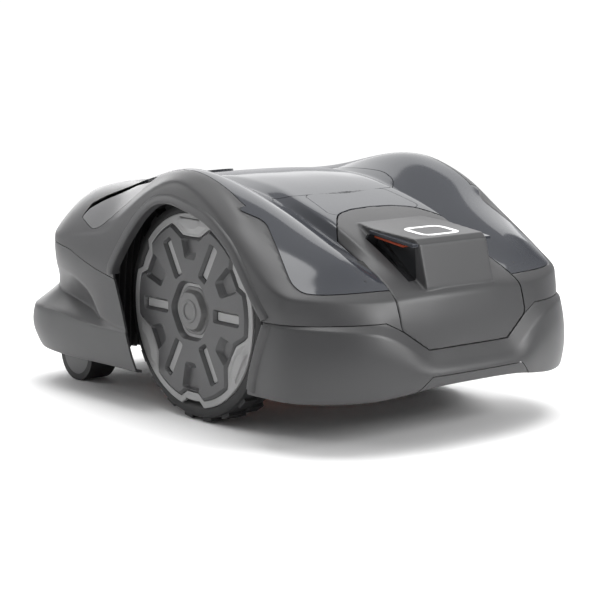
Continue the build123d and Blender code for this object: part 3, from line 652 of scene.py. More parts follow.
for sign in (-1, 1):
    inset = grown(rounded(WINDOW, 0.5), -0.4)
    made = slab(sign, inset, 41.2, 43.5)
    parts = [slab(sign, [(-262, 171), (-257, 170), (-199, 213), (-199, 219)], 43, 48),
             slab(sign, [(-263.5, 173), (-264.5, 169.5), (-260.5, 168.5), (-187.5, 205.5), (-190, 209)],
                  43, 61.5),
             slab(sign, [(-199, 221), (-196.5, 221.5), (-186.5, 205.5), (-190, 204.5)], 43, 61.5),
             slab(sign, [(-198, 221), (-262, 212), (-262, 207), (-198, 216)], 43, 46)]
    for part in parts:
        combine(made, [part], "UNION")
    panes = made if panes is None else combine(panes, [made], "UNION")
    strip = slab(sign, [(-201, 219.6), (-247, 213.4), (-247, 211.2), (-201, 217.4)], 45.5, 54.5)
    strips = strip if strips is None else combine(strips, [strip], "UNION")
    eave = slab(sign, rounded([(-197, 225.6), (-267, 216.8), (-268, 213.2), (-197, 221.6)], 0.8), 44, 59)
    finish_panel(eave, "window_eave_left" if sign > 0 else "window_eave_right", gloss_cover, "shell",
                 [], edge=0.7)
finish_panel(panes, "sensor_panes", pane_glass, "shell", ["sensor_windows"], edge=0.4)
finish_panel(strips, "light_strips_lit", orange_glow, "shell", ["light_strips"], edge=0.3)

white_print = moulded_plastic("white_pad_print", "#f2f2f2", 0.4)
nose_tree = BVHTree.FromObject(nose, bpy.context.evaluated_depsgraph_get())
ring_outline = rounded([(-29, -26), (29, -26), (29, 26), (-29, 26)], 17, 10)
badge_mesh = bmesh.new()
rows = []
for offset in (0.0, 6.4):
    row = []
    for u, v in grown(ring_outline, -offset):
        hit = nose_tree.ray_cast(Vector((u * MM, (-234 + v * 0.8) * MM, 0.4)), Vector((0, 0, -1)))[0]
        row.append(badge_mesh.verts.new(hit + Vector((0, 0, 0.35 * MM))))
    rows.append(row)
for i in range(len(ring_outline)):
    j = (i + 1) % len(ring_outline)
    badge_mesh.faces.new((rows[0][i], rows[0][j], rows[1][j], rows[1][i]))
for face in badge_mesh.faces:
    if face.normal.z < 0:
        face.normal_flip()
badge = poured(badge_mesh, "badge")
thicken(badge, 1.0)
finish_panel(badge, "plain_ring_badge", white_print, "shell", [], edge=0)

# ------------------------------------------------------------------------------ bumpers
# Two satin ABS mouldings that close the shell below its lower seam. The front one has a chamfer that
# follows the dip under the nose, and the tail has a creased waist above a broad rounded ledge.

FRONT_COLUMNS = [
    [(0, -291, 114), (0, -296, 105), (0, -305, 93), (0, -313, 84), (0, -313, 75), (0, -309, 68),
     (0, -299, 67)],
    [(36, -291, 114), (36, -296, 105), (38, -305, 93), (40, -313, 84), (40, -313, 75),
     (40, -309, 68), (40, -299, 67)],
    [(60, -290.5, 114), (60, -295.5, 105), (65, -304, 93), (70, -311, 84), (72, -311, 74),
     (73, -307, 66), (72, -297, 65)],
    [(76, -288, 126), (76, -293, 117), (82, -302, 105), (88, -308, 90), (90, -308, 74),
     (90, -304, 63), (88, -294, 62)],
    [(93, -284.5, 138), (93, -289.5, 129), (100, -298, 118), (105, -304, 100), (107, -304, 76),
     (106, -300, 61), (102, -290, 60)],
    [(122, -281, 148), (122, -286, 139), (127, -293, 130), (131, -298, 108), (132, -298, 78),
     (130, -294, 58), (124, -284, 57)],
    [(151, -271, 148.3), (151, -276, 139.3), (155, -282, 133), (159, -287, 110), (160, -287, 78),
     (157, -283, 57), (149, -273, 56)],
    [(178, -253, 148.3), (178, -258, 139.3), (181, -262, 135), (185, -266, 110), (186, -266, 78),
     (183, -262, 56), (174, -254, 55)],
    [(200, -231.5, 148.3), (200, -233.0, 139.3), (202, -235, 136), (205, -238, 110),
     (206, -238, 78), (203, -235, 56), (193, -230, 55)],
    [(207, -210.5, 148), (207, -212.0, 139), (208.5, -212, 136), (210.5, -212, 110),
     (211, -212, 78), (207, -208, 56), (197, -205, 55)],
    [(209, -188.5, 147.5), (209, -190.0, 138.5), (210, -190, 136), (211.5, -187, 110),
     (211, -184, 78), (207, -180, 56), (197, -178, 55)],
    [(209.5, -158.5, 147), (209.5, -160.0, 138), (210.2, -160, 135), (211.5, -155, 110),
     (211, -150, 78), (207, -140, 56), (197, -140, 55)],
]
REAR_COLUMNS = [
    [(207.3, 28, 172), (208, 28, 160), (209, 28, 150), (209.5, 28, 98), (209.5, 28, 96),
     (209.5, 28, 94), (210, 28, 91), (209, 28, 68), (205, 28, 47), (196, 28, 46)],
    [(207.8, 92, 174), (208.3, 92, 163), (209, 92, 150), (209, 100, 101), (208.5, 103, 99),
     (208.5, 104, 97), (210.5, 86, 92), (209.5, 76, 68), (205, 66, 47), (196, 66, 46)],
    [(207.5, 112, 182), (208, 112, 168), (208.5, 112, 154), (207.5, 118, 106), (204, 120, 102.5),
     (203, 121, 99), (211, 118, 92.5), (210, 110, 68), (205, 105, 47), (196, 105, 46)],
    [(206.8, 128, 185), (207.3, 128, 172), (208, 128, 156), (206, 128, 120), (199, 131, 111),
     (198, 134, 104), (211, 140, 94), (210.5, 136, 68), (205, 133, 46.5), (196, 133, 45.5)],
    [(206, 146, 188), (206.8, 146, 174), (207.3, 145, 158), (204.8, 142, 132.5), (195, 146, 118),
     (192.5, 152, 108), (211, 160, 96), (211, 158, 68), (205, 156, 46), (196, 155, 45)],
    [(203, 176, 192), (204.5, 176, 178), (205.2, 175, 161), (201.5, 171, 143), (190, 174, 124),
     (186.5, 180, 110), (210.5, 184, 98), (211.5, 186, 69), (205.2, 183, 46), (196, 180, 45)],
    [(198, 204, 193), (200, 204, 180), (201, 203, 164), (196.5, 199, 147.5), (185, 201, 129),
     (180, 208, 113), (208.5, 210, 100), (211, 214, 71), (204.5, 208, 46), (199, 205, 45)],
    [(189, 232, 194), (191, 232, 182), (192.5, 231, 165), (188.5, 230, 149), (181, 232, 132),
     (178, 241, 117), (206.5, 246, 98.5), (209, 251, 71), (200, 243, 46), (197, 241, 45)],
    [(175, 252, 195), (177, 252, 183), (178, 252, 166), (178, 254, 150), (173, 254, 134),
     (172, 259, 120), (196, 280, 99), (199, 287, 73), (190, 275, 46), (186, 272, 45)],
    [(157, 265, 197), (158, 266, 184), (159, 267, 167), (162, 272, 151), (158, 273, 136),
     (157, 277, 123), (172, 302, 99), (174, 310, 74), (167, 297, 46), (159, 289, 45)],
    [(136, 276, 199), (137, 277, 186), (138, 279, 168), (140, 286, 152), (137, 285, 137),
     (136, 289, 125), (143, 308, 98.5), (143, 316, 75), (138, 304, 46), (133, 296, 45)],
    [(99, 285, 200), (100, 287, 187), (100, 290, 169), (100, 293, 153), (97, 290, 138),
     (96, 294, 127), (97, 310, 98), (98, 315.6, 75), (96, 305, 46), (94, 297, 45)],
    [(49, 289, 200), (50, 291, 187), (50, 295, 169), (50, 296, 153), (48, 288, 138),
     (48, 292, 128), (49, 310, 98), (49, 315.8, 75), (48, 306, 46), (47, 298, 45)],
    [(0, 290, 200), (0, 292, 187), (0, 296, 169), (0, 297, 153), (0, 289, 138), (0, 293, 128),
     (0, 310, 98), (0, 315.8, 75), (0, 306, 46), (0, 298, 45)],
]


def strip_cage(name, columns, creased):
    """A half strip of quads through columns of points, with a crease along the chosen levels."""
    levels = len(columns[0])
    vertices = [p for column in columns for p in column]
    faces = [(c * levels + k, c * levels + k + 1, (c + 1) * levels + k + 1, (c + 1) * levels + k)
             for c in range(len(columns) - 1) for k in range(levels - 1)]
    creases = {frozenset((c * levels + k, (c + 1) * levels + k)): weight
               for c in range(len(columns) - 1) for k, weight in creased.items()}
    return cage(name, vertices, faces, creases)


def hugging(columns, rows):
    """The same columns with their top rows laid on the skin above the seam."""
    laid = [list(column) for column in columns]
    for column in laid:
        for k in range(rows):
            spot, normal = form_tree.find_nearest(Vector(column[k]) * MM)[:2]
            corner, shoulder = 120 < column[k][0] < 165, 165 <= column[k][0] < 199
            bulge = 3.4 if corner else 2.0 if shoulder else 0.0
            spot = spot / MM + normal * bulge
            column[k] = (max(0.0, spot.x) if column[k][0] > 0 else 0, spot.y, spot.z)
    return laid


def bumper_wall(name, columns, creased):
    """A bumper sheet with its wall, faces outwards."""
    sheet = bake(strip_cage(name, columns, creased))
    with editing(sheet) as mesh:
        middle = max(mesh.faces, key=lambda f: abs(f.calc_center_median().y))
        if middle.normal.y * middle.calc_center_median().y < 0:
            bmesh.ops.reverse_faces(mesh, faces=mesh.faces)
    return thicken(sheet, 2.8)


def arch_cut(made):
    """Cuts both wheel arches from a bumper."""
    for sign in (-1, 1):
        reach = sorted((sign * ARCH_NEAR, sign * ARCH_FAR))
        combine(made, [prism(rounded(ARCH, 1, 6), "x", *reach)])
    return made


FRONT_CREASES = {1: 0.6, 2: 0.75, 5: 0.4}
REAR_CREASES = {3: 0.7, 5: 0.6, 6: 0.75, 8: 0.4}
front_bumper = arch_cut(bumper_wall("front_bumper", FRONT_COLUMNS, FRONT_CREASES))
combine(front_bumper, [prism(grown(DIP, -GAP), "y", -400, -100)], "INTERSECT")
INSERT_BAR = [(-92, 58), (92, 58), (68, 80, 3), (-68, 80, 3)]
bar_outline = rounded(INSERT_BAR, 0.5)
combine(front_bumper, [prism(bar_outline, "y", -340, -250)])
bar = bumper_wall("bar", FRONT_COLUMNS, FRONT_CREASES)
combine(bar, [prism(grown(bar_outline, -0.8), "y", -340, -250)], "INTERSECT")
finish_panel(drop_scraps(bar, 30), "charging_bar", shell_plastic, "chassis",
             ["front_insert"])
rear_bumper = arch_cut(bumper_wall("rear_bumper", hugging(REAR_COLUMNS, 3), REAR_CREASES))
combine(rear_bumper, [prism(grown(REAR_SEAM, -GAP), "x", -260, 260)], "INTERSECT")
finish_panel(drop_scraps(front_bumper), "nose_bumper", shell_plastic, "shell",
             ["front_bumper"])
finish_panel(drop_scraps(rear_bumper), "tail_bumper", shell_plastic, "shell",
             ["rear_bumper"])

# ------------------------------------------------------------------------------ wheel arch lips
# The fender's free edge is turned out into a flat lip about 12 mm wide, moulded in one with the panel, so
# it rides on the same body. It breaks at the lower seams, as the panels do.


def arch_path(points, spacing=4.0):
    """The evenly spaced points of an open line, each with the direction out of the opening."""
    dense = []
    for a, b in zip(points, points[1:]):
        a, b = Vector(a), Vector(b)
        pieces = max(1, round((b - a).length / spacing))
        dense += [a.lerp(b, i / pieces) for i in range(pieces)]
    dense.append(Vector(points[-1]))
    result = []
    for i, here in enumerate(dense):
        along = dense[min(i + 1, len(dense) - 1)] - dense[max(i - 1, 0)]
        result.append((here, Vector((-along.y, along.x)).normalized()))
    return result


def lip(name, start, end, surfaces, sign):
    """A turned-out lip along part of the arch, with its skin found on the panels behind it."""
    path = arch_path(arch_points[start:end])
    section = [(-0.2, -9.0), (-0.4, 0.4), (0.8, 2.6), (2.6, 3.2), (8.6, 2.6), (10.4, 1.9), (12.2, -0.6)]
    vertices, rings = [], 0
    for here, outward in path:
        column = []
        for distance, rise in section:
            spot = here + outward * distance
            look = here + outward * max(distance, 2.5)
            found = None
            for tree in surfaces:
                hit = tree.ray_cast(Vector((sign * 0.3, look.x * MM, look.y * MM)), Vector((-sign, 0, 0)))
                if hit[0] is not None and abs(hit[0].x) > 0.16:
                    found = abs(hit[0].x) / MM if found is None else max(found, abs(hit[0].x) / MM)
            column.append((spot, found, rise))
        if any(found is None for _, found, _ in column):
            continue
        vertices += [(sign * (found + rise), spot.x, spot.y) for spot, found, rise in column]
        rings += 1
    count = len(section)
    faces = [(r * count + c, r * count + c + 1, (r + 1) * count + c + 1, (r + 1) * count + c)
             for r in range(rings - 1) for c in range(count - 1)]
    made = bake(cage(name, vertices, faces, {}, 2, mirrored=False))
    with editing(made) as mesh:
        outer = max(mesh.faces, key=lambda f: sign * f.calc_center_median().x)
        if outer.normal.x * sign < 0:
            bmesh.ops.reverse_faces(mesh, faces=mesh.faces)
    return thicken(made, 1.2)


graph = bpy.context.evaluated_depsgraph_get()
fender_trees = [BVHTree.FromObject(bpy.data.objects[n], graph) for n in ("body_shell", "haunch_inserts")]
bumper_trees = [BVHTree.FromObject(bpy.data.objects[n], graph) for n in ("nose_bumper", "tail_bumper")]
arch_points = rounded(ARCH, 1, 6)
upper_start = next(i for i, p in enumerate(arch_points) if p[1] > 139.6)
upper_end = max(i for i, p in enumerate(arch_points) if p[1] > 154.6) + 1
low_start = next(i for i, p in enumerate(arch_points) if p[1] > 58)
for sign, side_name in ((1, "left"), (-1, "right")):
    for name, start, end, behind in (("_fender_lip", upper_start, upper_end, fender_trees),
                                     ("_bumper_lip", low_start, upper_start, bumper_trees)):
        edging = lip(side_name + name, start, end, behind, sign)
        finish_panel(edging, side_name + name, shell_plastic, "shell", [], edge=0)

# ------------------------------------------------------------------------------ arch liners
# A pleated black apron hangs across the shell behind each wheel, and keeps grass out of the tail. It is
# injected in soft polypropylene and clipped to the fender's inside.

liner_black = moulded_plastic("polypropylene_liner_black", "#0c0c0d", 0.6)
for sign, side_name in ((1, "left"), (-1, "right")):
    mesh = bmesh.new()
    columns, heights = [], (62, 105, 130, 160, 185, 205, 222)
    reaches = (203, 203, 202, 199, 194, 184, 168)
    pleats, steps, near, depth, rear, lean = 9, 8, 121.5, 3.2, 119, 0.02
    for i in range(pleats * steps + 1):
        share = i / (pleats * steps)
        wave = depth * math.cos(math.tau * i / steps)
        columns.append([mesh.verts.new(Vector((sign * (near + (reach - near) * share),
                                               rear - (z - 80) * lean + wave, z)) * MM)
                        for z, reach in zip(heights, reaches)])
    for a, b in zip(columns, columns[1:]):
        for k in range(len(heights) - 1):
            mesh.faces.new((a[k], b[k], b[k + 1], a[k + 1]))
    if sign < 0:
        bmesh.ops.reverse_faces(mesh, faces=mesh.faces)
    liner = poured(mesh, "liner")
    thicken(liner, 1.6)
    finish_panel(liner, side_name + "_arch_liner", liner_black, "shell", [], edge=0)

# ------------------------------------------------------------------------------ drive wheels
# Each wheel is a soft rubber tyre with two staggered rows of lugs on a plastic rim. A silver painted ring
# plate with three broad petals shows round a grey moulded cover, whose six slots let the plate through.

WHEEL_FACE = 181.0


def wheel_point(sign, u, p, q):
    """A millimetre point on a wheel: u outwards from its face, p forwards round the clock, q up."""
    return Vector((sign * (WHEEL_FACE + u), WHEEL_Y + sign * p, WHEEL_Z + q))


def polar(turn, radius):
    """A point at so many degrees clockwise from the top, seen from outside."""
    return (radius * math.sin(math.radians(turn)), radius * math.cos(math.radians(turn)))


def wheel_prism(sign, outer, outer_u, inner, inner_u):
    """A closed block between an outline at one depth and one of as many points at another."""
    return stacked([wheel_point(sign, outer_u, p, q) for p, q in outer],
                   [wheel_point(sign, inner_u, p, q) for p, q in inner])


def arc_filled(points, step=4.0):
    """Adds points between far corners of a polar outline, so that its long edges are arcs."""
    full = []
    for (a0, r0), (a1, r1) in zip(points, points[1:] + [(points[0][0] + 360, points[0][1])]):
        full.append(polar(a0, r0))
        if abs(r1 - r0) < 0.01 and a1 - a0 > step:
            pieces = math.ceil((a1 - a0) / step)
            full += [polar(a0 + (a1 - a0) * i / pieces, r0) for i in range(1, pieces)]
    return full


def thirds(pattern):
    """A polar pattern repeated at every third of a turn."""
    return [(a + 120 * i, r) for i in range(3) for a, r in pattern]


RING_OUTER = thirds([(-49, 111), (49, 111), (53, 103), (67, 103)])
RING_INNER = thirds([(-48, 103.5), (-21, 103.5), (-18.5, 100), (-10.5, 86.5), (0, 84.5), (10.5, 86.5),
                     (18.5, 100), (21, 103.5), (48, 103.5), (53.5, 94), (66.5, 94)])


def turned(points, degrees_round):
    """Points turned clockwise round the wheel's centre."""
    a = math.radians(degrees_round)
    return [(p * math.cos(a) + q * math.sin(a), q * math.cos(a) - p * math.sin(a)) for p, q in points]


def lathe(sign, profile, steps=120):
    """A closed ring from a closed (u, radius) profile."""
    mesh = bmesh.new()
    rings = []
    for i in range(steps):
        rings.append([mesh.verts.new(wheel_point(sign, u, *polar(360 * i / steps, r)) * MM)
                      for u, r in profile])
    count = len(profile)
    for i in range(steps):
        for k in range(count):
            a, b = rings[i], rings[(i + 1) % steps]
            mesh.faces.new((a[k], a[(k + 1) % count], b[(k + 1) % count], b[k]))
    bmesh.ops.recalc_face_normals(mesh, faces=mesh.faces)
    return poured(mesh, "ring")


def lug_rows(sign, rubber):
    """Two staggered rows of tread lugs, set round the tyre by a node tree."""
    tree = bpy.data.node_groups.new("tread_lugs", "GeometryNodeTree")
    tree.interface.new_socket("Geometry", in_out="OUTPUT", socket_type="NodeSocketGeometry")
    for name, kind in (("Lugs in a row", "NodeSocketInt"), ("Foot radius", "NodeSocketFloat"),
                       ("Row offset", "NodeSocketFloat"), ("Lug size", "NodeSocketVector"),
                       ("Rubber", "NodeSocketMaterial")):
        tree.interface.new_socket(name, in_out="INPUT", socket_type=kind)
    given = tree.nodes.new("NodeGroupInput").outputs
    block = node(tree, "GeometryNodeMeshCube", None, {"Size": given["Lug size"]})
    rows = tree.nodes.new("GeometryNodeJoinGeometry")
    for half_step, way in ((0.0, 1.0), (0.5, -1.0)):
        circle = node(tree, "GeometryNodeMeshCircle", None,
                      {"Vertices": given["Lugs in a row"], "Radius": given["Foot radius"]})
        shift = node(tree, "ShaderNodeMath", {"operation": "MULTIPLY", 1: way}, {0: given["Row offset"]})
        step = node(tree, "ShaderNodeMath", {"operation": "DIVIDE", 0: half_step * math.tau},
                    {1: given["Lugs in a row"]})
        place = node(tree, "ShaderNodeCombineXYZ", None, {"Z": shift.outputs[0]})
        spin = node(tree, "ShaderNodeCombineXYZ", None, {"Z": step.outputs[0]})
        moved = node(tree, "GeometryNodeTransform", None,
                     {"Geometry": circle.outputs[0], "Translation": place.outputs[0],
                      "Rotation": spin.outputs[0]})
        spot = tree.nodes.new("GeometryNodeInputPosition")
        flat = node(tree, "ShaderNodeVectorMath", {"operation": "MULTIPLY", 1: (1, 1, 0)},
                    {0: spot.outputs[0]})
        aim = node(tree, "FunctionNodeAlignEulerToVector", {"axis": "X"}, {"Vector": flat.outputs[0]})
        lugs = node(tree, "GeometryNodeInstanceOnPoints", None,
                    {"Points": moved.outputs[0], "Instance": block.outputs[0],
                     "Rotation": aim.outputs[0]})
        tree.links.new(lugs.outputs[0], rows.inputs[0])
    real = node(tree, "GeometryNodeRealizeInstances", None, {"Geometry": rows.outputs[0]})
    painted = node(tree, "GeometryNodeSetMaterial", None,
                   {"Geometry": real.outputs[0], "Material": given["Rubber"]})
    out = tree.nodes.new("NodeGroupOutput")
    tree.links.new(painted.outputs[0], out.inputs[0])
    made = linked("lugs", bpy.data.meshes.new("lugs"))
    maker = made.modifiers.new("lugs", "NODES")
    maker.node_group = tree
    sizes = {"Lugs in a row": 22, "Foot radius": 122.3 * MM, "Row offset": 10 * MM,
             "Lug size": (9.6 * MM, 15 * MM, 17 * MM), "Rubber": rubber}
    for socket in tree.interface.items_tree:
        if socket.in_out == "INPUT":
            maker[socket.identifier] = sizes[socket.name]
    bake(made)
    centre = Vector((sign * (WHEEL_FACE - 25), WHEEL_Y, WHEEL_Z)) * MM
    made.data.transform(Matrix.Translation(centre) @ Matrix.Rotation(math.pi / 2, 4, "Y"))
    return made


def rubber_material(name, colour, roughness=0.62):
    """Natural rubber: nearly black, dull, with a faint mottled bloom."""
    material, tree = new_material(name)
    place = node(tree, "ShaderNodeTexCoord").outputs["Object"]
    bloom = node(tree, "ShaderNodeTexNoise", {"Scale": 1 / (18 * MM), "Detail": 5.0}, {"Vector": place})
    skin = node(tree, "ShaderNodeTexNoise", {"Scale": 1 / (0.9 * MM), "Detail": 2.0}, {"Vector": place})
    tone = node(tree, "ShaderNodeMapRange", {"To Min": 0.8, "To Max": 1.25}, {"Value": bloom.outputs["Fac"]})
    shade = node(tree, "ShaderNodeVectorMath", {"operation": "SCALE", 0: linear(colour)[:3]},
                 {"Scale": tone.outputs["Result"]})
    gloss = node(tree, "ShaderNodeMapRange", {"To Min": roughness - 0.08, "To Max": roughness + 0.08},
                 {"Value": bloom.outputs["Fac"]})
    bump = node(tree, "ShaderNodeBump", {"Distance": 0.12 * MM}, {"Height": skin.outputs["Fac"]})
    surface = node(tree, "ShaderNodeBsdfPrincipled", {"IOR": 1.52},
                   {"Base Color": shade.outputs[0], "Roughness": gloss.outputs[0],
                    "Normal": bump.outputs[0]})
    node(tree, "ShaderNodeOutputMaterial", None, {"Surface": surface.outputs[0]})
    return material


tyre_rubber = rubber_material("natural_rubber_tyre", "#141415")
silver_paint = moulded_plastic("silver_lacquered_plastic", "#868686", 0.34, grain_mm=0.5, grain_depth=0.01)
cover_plastic = moulded_plastic("abs_moulded_mid_grey", "#454546", 0.40)
hub_plastic = moulded_plastic("abs_hub_cap_grey", "#5a5a5a", 0.36)


def slot_outline(near, far, half, radius):
    """A rounded radial slot, pointing up."""
    return rounded([(-half, near), (half, near), (half, far), (-half, far)], radius)


def hexagon(radius, corner):
    """A rounded six-sided outline."""
    return rounded([polar(30 + 60 * i, radius) for i in range(6)], corner, 5)


def build_wheel(sign, side_name):
    """One drive wheel: tyre, lugs, ring plate, cover and hub cap."""
    profile = [(-5, 108), (-2.6, 110.4), (-1.4, 113), (-1.6, 118), (-3.4, 121.6), (-7, 123.4), (-12, 123.8),
               (-38, 123.8), (-43, 123.2), (-46.6, 121.4), (-48.6, 117), (-48.4, 110), (-46, 104), (-34, 103),
               (-10, 103)]
    tyre = lathe(sign, profile)
    lugs = lug_rows(sign, tyre_rubber)
    combine(tyre, [lugs], "UNION")
    finish_panel(tyre, side_name + "_lugged_tyre", tyre_rubber, side_name + "_wheel",
                 [side_name + "_tyre"], edge=0.7, angle=30)

    ring = wheel_prism(sign, arc_filled(RING_OUTER), 0.5, arc_filled([(a, r + 1) for a, r in RING_OUTER]), -5)
    inner = arc_filled(RING_INNER)
    combine(ring, [wheel_prism(sign, inner, 5, inner, -3.5)])
    for turn in (0, 120, 240):
        foot = turned([polar(-17.5, 102), polar(-9.5, 88.5), polar(0, 86.8), polar(9.5, 88.5),
                       polar(17.5, 102), polar(13, 109), polar(-13, 109)], turn)
        crown = turned([polar(-10, 100), polar(-5.5, 95), polar(0, 94), polar(5.5, 95),
                        polar(10, 100), polar(8, 105), polar(-8, 105)], turn)
        combine(ring, [wheel_prism(sign, crown, 3.4, foot, 0)], "UNION")
    finish_panel(ring, side_name + "_ring_plate", silver_paint, side_name + "_wheel",
                 [side_name + "_ring_plate"], edge=0.7, angle=20)

    edge_line = grown([tuple(p) for p in arc_filled(RING_INNER)], -0.9)
    top_line = grown(edge_line, -3.2)
    cover = wheel_prism(sign, top_line, 3, edge_line, -0.4)
    combine(cover, [wheel_prism(sign, edge_line, -0.5, edge_line, -4)], "UNION")
    tools = []
    for i in range(6):
        middle = 60 * i
        reach = 82.0 if i % 2 == 0 else 90.5
        top = turned(rounded([(-10, 58), (10, 58), (17, reach), (-17, reach)], 4), middle)
        low = turned(rounded([(-8, 66), (8, 66), (13, reach - 1.5), (-13, reach - 1.5)], 4), middle)
        tools.append(wheel_prism(sign, top, 3.6, low, -3))
        spoke = 30 + 60 * i
        mouth = turned(slot_outline(42, 90, 8.2, 4), spoke)
        slot = turned(slot_outline(45, 88, 5.4, 2.5), spoke)
        tools.append(wheel_prism(sign, mouth, 3.4, slot, -1.0))
        tools.append(wheel_prism(sign, slot, 0, slot, -6))
    tools.append(wheel_prism(sign, hexagon(39, 10), 3.4, hexagon(34, 10), -6))
    combine(cover, tools)
    finish_panel(cover, side_name + "_spoked_cover", cover_plastic, side_name + "_wheel",
                 [side_name + "_wheel_cover"], edge=0.9, angle=25)

    bars = None
    for i in range(6):
        line = turned(slot_outline(46, 87, 4.9, 2.2), 30 + 60 * i)
        bar = wheel_prism(sign, line, -1.2, line, -5)
        bars = combine(bars, [bar], "UNION") if bars else bar
    finish_panel(bars, side_name + "_slot_bars", silver_paint, side_name + "_wheel", [],
                 edge=0.5)

    cap = wheel_prism(sign, hexagon(24, 9), 4.2, hexagon(27.5, 9), -3)
    combine(cap, [wheel_prism(sign, hexagon(31, 10), -2.5, hexagon(33.5, 10), -6.5)], "UNION")
    badge = [polar(a, 13.0) for a in range(0, 360, 12)]
    well = [polar(a, 9.6) for a in range(0, 360, 12)]
    combine(cap, [wheel_prism(sign, badge, 5.2, badge, 4)], "UNION")
    combine(cap, [wheel_prism(sign, well, 6, well, 4.0)])
    finish_panel(cap, side_name + "_hub_cap", hub_plastic, side_name + "_wheel",
                 [side_name + "_hub_cap"], edge=1.0, angle=25)


for sign, side_name in ((1, "left"), (-1, "right")):
    build_wheel(sign, side_name)

# ------------------------------------------------------------------------------ chassis and inner parts
# What the shell hides, mostly: a black chassis with its motors and board, the cutter under it, and the
# controls under the hatch. Their shapes are the machined and moulded parts themselves, each with its finish.


def bare_metal(name, colour, roughness, lines_mm=0.4):
    """Metal with fine turning lines."""
    material, tree = new_material(name)
    place = node(tree, "ShaderNodeTexCoord").outputs["Object"]
    lines = node(tree, "ShaderNodeTexNoise", {"Scale": 1 / (lines_mm * MM), "Detail": 3.0},
                 {"Vector": place})
    cloud = node(tree, "ShaderNodeTexNoise", {"Scale": 1 / (25 * MM), "Detail": 4.0}, {"Vector": place})
    gloss = node(tree, "ShaderNodeMapRange", {"To Min": roughness - 0.08, "To Max": roughness + 0.1},
                 {"Value": cloud.outputs["Fac"]})
    bump = node(tree, "ShaderNodeBump", {"Distance": 0.01 * MM}, {"Height": lines.outputs["Fac"]})
    surface = node(tree, "ShaderNodeBsdfPrincipled", {"Base Color": linear(colour), "Metallic": 1.0},
                   {"Roughness": gloss.outputs[0], "Normal": bump.outputs[0]})
    node(tree, "ShaderNodeOutputMaterial", None, {"Surface": surface.outputs[0]})
    return material


black_plastic = moulded_plastic("glass_filled_nylon_black", "#1c1c1d", 0.55, grain_mm=0.8)
soft_black = rubber_material("black_rubber_seal", "#1a1a1a", 0.7)
zinc_steel = bare_metal("zinc_plated_steel", "#b9babd", 0.3)
blade_steel = bare_metal("ground_carbon_steel", "#c9cacc", 0.22)
motor_can = bare_metal("galvanised_motor_can", "#8d9094", 0.42)
dull_nickel = bare_metal("tarnished_nickel_contact", "#4c4b49", 0.5)
stop_red = moulded_plastic("abs_stop_red", "#b3191c", 0.25, grain_depth=0.01)
start_green = moulded_plastic("abs_start_green", "#2e8b3d", 0.3, grain_depth=0.01)
dial_black = moulded_plastic("soft_touch_dial", "#2a2a2b", 0.5)
display_glass = moulded_plastic("display_glass_off", "#0c1012", 0.06, grain_depth=0.0)
cell_wrap = moulded_plastic("battery_shrink_wrap", "#274a7a", 0.32)
board_green = moulded_plastic("solder_masked_board", "#1e5a34", 0.4, grain_mm=2.0)
disc_orange = moulded_plastic("nylon_disc_orange", "#d9661f", 0.42)
rim_black = moulded_plastic("nylon_wheel_rim", "#262627", 0.5)

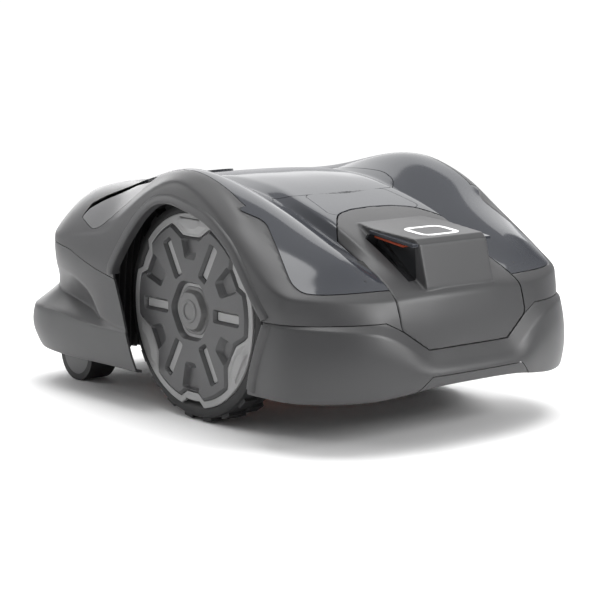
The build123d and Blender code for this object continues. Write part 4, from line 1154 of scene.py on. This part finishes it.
# the hatch tray, the mount sockets and the front insert are made anew elsewhere
FINISHES = (
    (black_plastic, "chassis_tub chassis_lid control_panel height_guide cutter_carriage "
                    "left_caster_arm right_caster_arm"),
    (soft_black, "lid_seal shell_posts"),
    (cell_wrap, "battery_pack"),
    (board_green, "main_board"),
    (display_glass, "display"),
    (dull_nickel, "charging_contacts"),
    (zinc_steel, "chassis_screws hinge_pins height_screw blade_screws left_drive_shaft "
                 "right_drive_shaft left_caster_axle right_caster_axle"),
    (motor_can, "height_motor left_wheel_motor right_wheel_motor cutter_motor"),
    (stop_red, "stop_button"),
    (start_green, "start_button"),
    (dial_black, "jog_dial"),
    (disc_orange, "cutting_disc skid_plate"),
    (blade_steel, "blade_1 blade_2 blade_3"),
    (rim_black, "left_rim right_rim"),
    (cover_plastic, "left_caster_hub right_caster_hub"),
    (tyre_rubber, "left_caster_tyre right_caster_tyre"),
)
for finish, names in FINISHES:
    for name in names.split():
        part = frame["nodes"][name]
        part.data.materials.clear()
        part.data.materials.append(finish)

# ------------------------------------------------------------------------------ hatch tray and mount sockets
# The tray under the hatch and the rubber sockets are moulded to the underside of the panels, so they are
# pressed here to lie a wall's thickness under them.


def fitted_under(source, name, skins, clearance):
    """A copy of an inner part, pressed down wherever it would stand above the panels' inner side."""
    made = copy_of(source, name)
    mesh = bmesh.new()
    mesh.from_mesh(made.data)
    around, least_top, longest = ((0, 0), (3, 0), (-3, 0), (0, 3), (0, -3)), 0.2, 9 * MM
    bmesh.ops.remove_doubles(mesh, verts=mesh.verts, dist=0.01 * MM)
    bmesh.ops.triangulate(mesh, faces=mesh.faces)
    for _ in range(4):
        long = [e for e in mesh.edges if e.calc_length() > longest]
        bmesh.ops.subdivide_edges(mesh, edges=long, cuts=1)
        bmesh.ops.triangulate(mesh, faces=mesh.faces)
    for vertex in mesh.verts:
        limits = []
        for dx, dy in around:
            start = Vector((vertex.co.x + dx * MM, vertex.co.y + dy * MM, 0.4))
            hits = [skin.ray_cast(start, Vector((0, 0, -1)))[0] for skin in skins]
            tops = [hit.z for hit in hits if hit is not None and hit.z > least_top]
            limits += [max(tops)] if tops else []
        if limits:
            vertex.co.z = min(vertex.co.z, min(limits) - clearance * MM)
    mesh.to_mesh(made.data)
    mesh.free()
    return made


graph = bpy.context.evaluated_depsgraph_get()
deck_skins = [BVHTree.FromObject(bpy.data.objects[n], graph)
              for n in ("glossy_cover", "control_hatch", "body_shell", "plain_badge_plate")]
tray = fitted_under(frame["nodes"]["hatch_well"], "hatch_tray", deck_skins, 3.8)
finish_panel(tray, "hatch_tray", black_plastic, "shell", ["hatch_well"], edge=0)
sockets = fitted_under(frame["nodes"]["shell_sockets"], "mount_sockets", deck_skins, 3.4)
finish_panel(sockets, "mount_sockets", soft_black, "shell", ["shell_sockets"], edge=0)
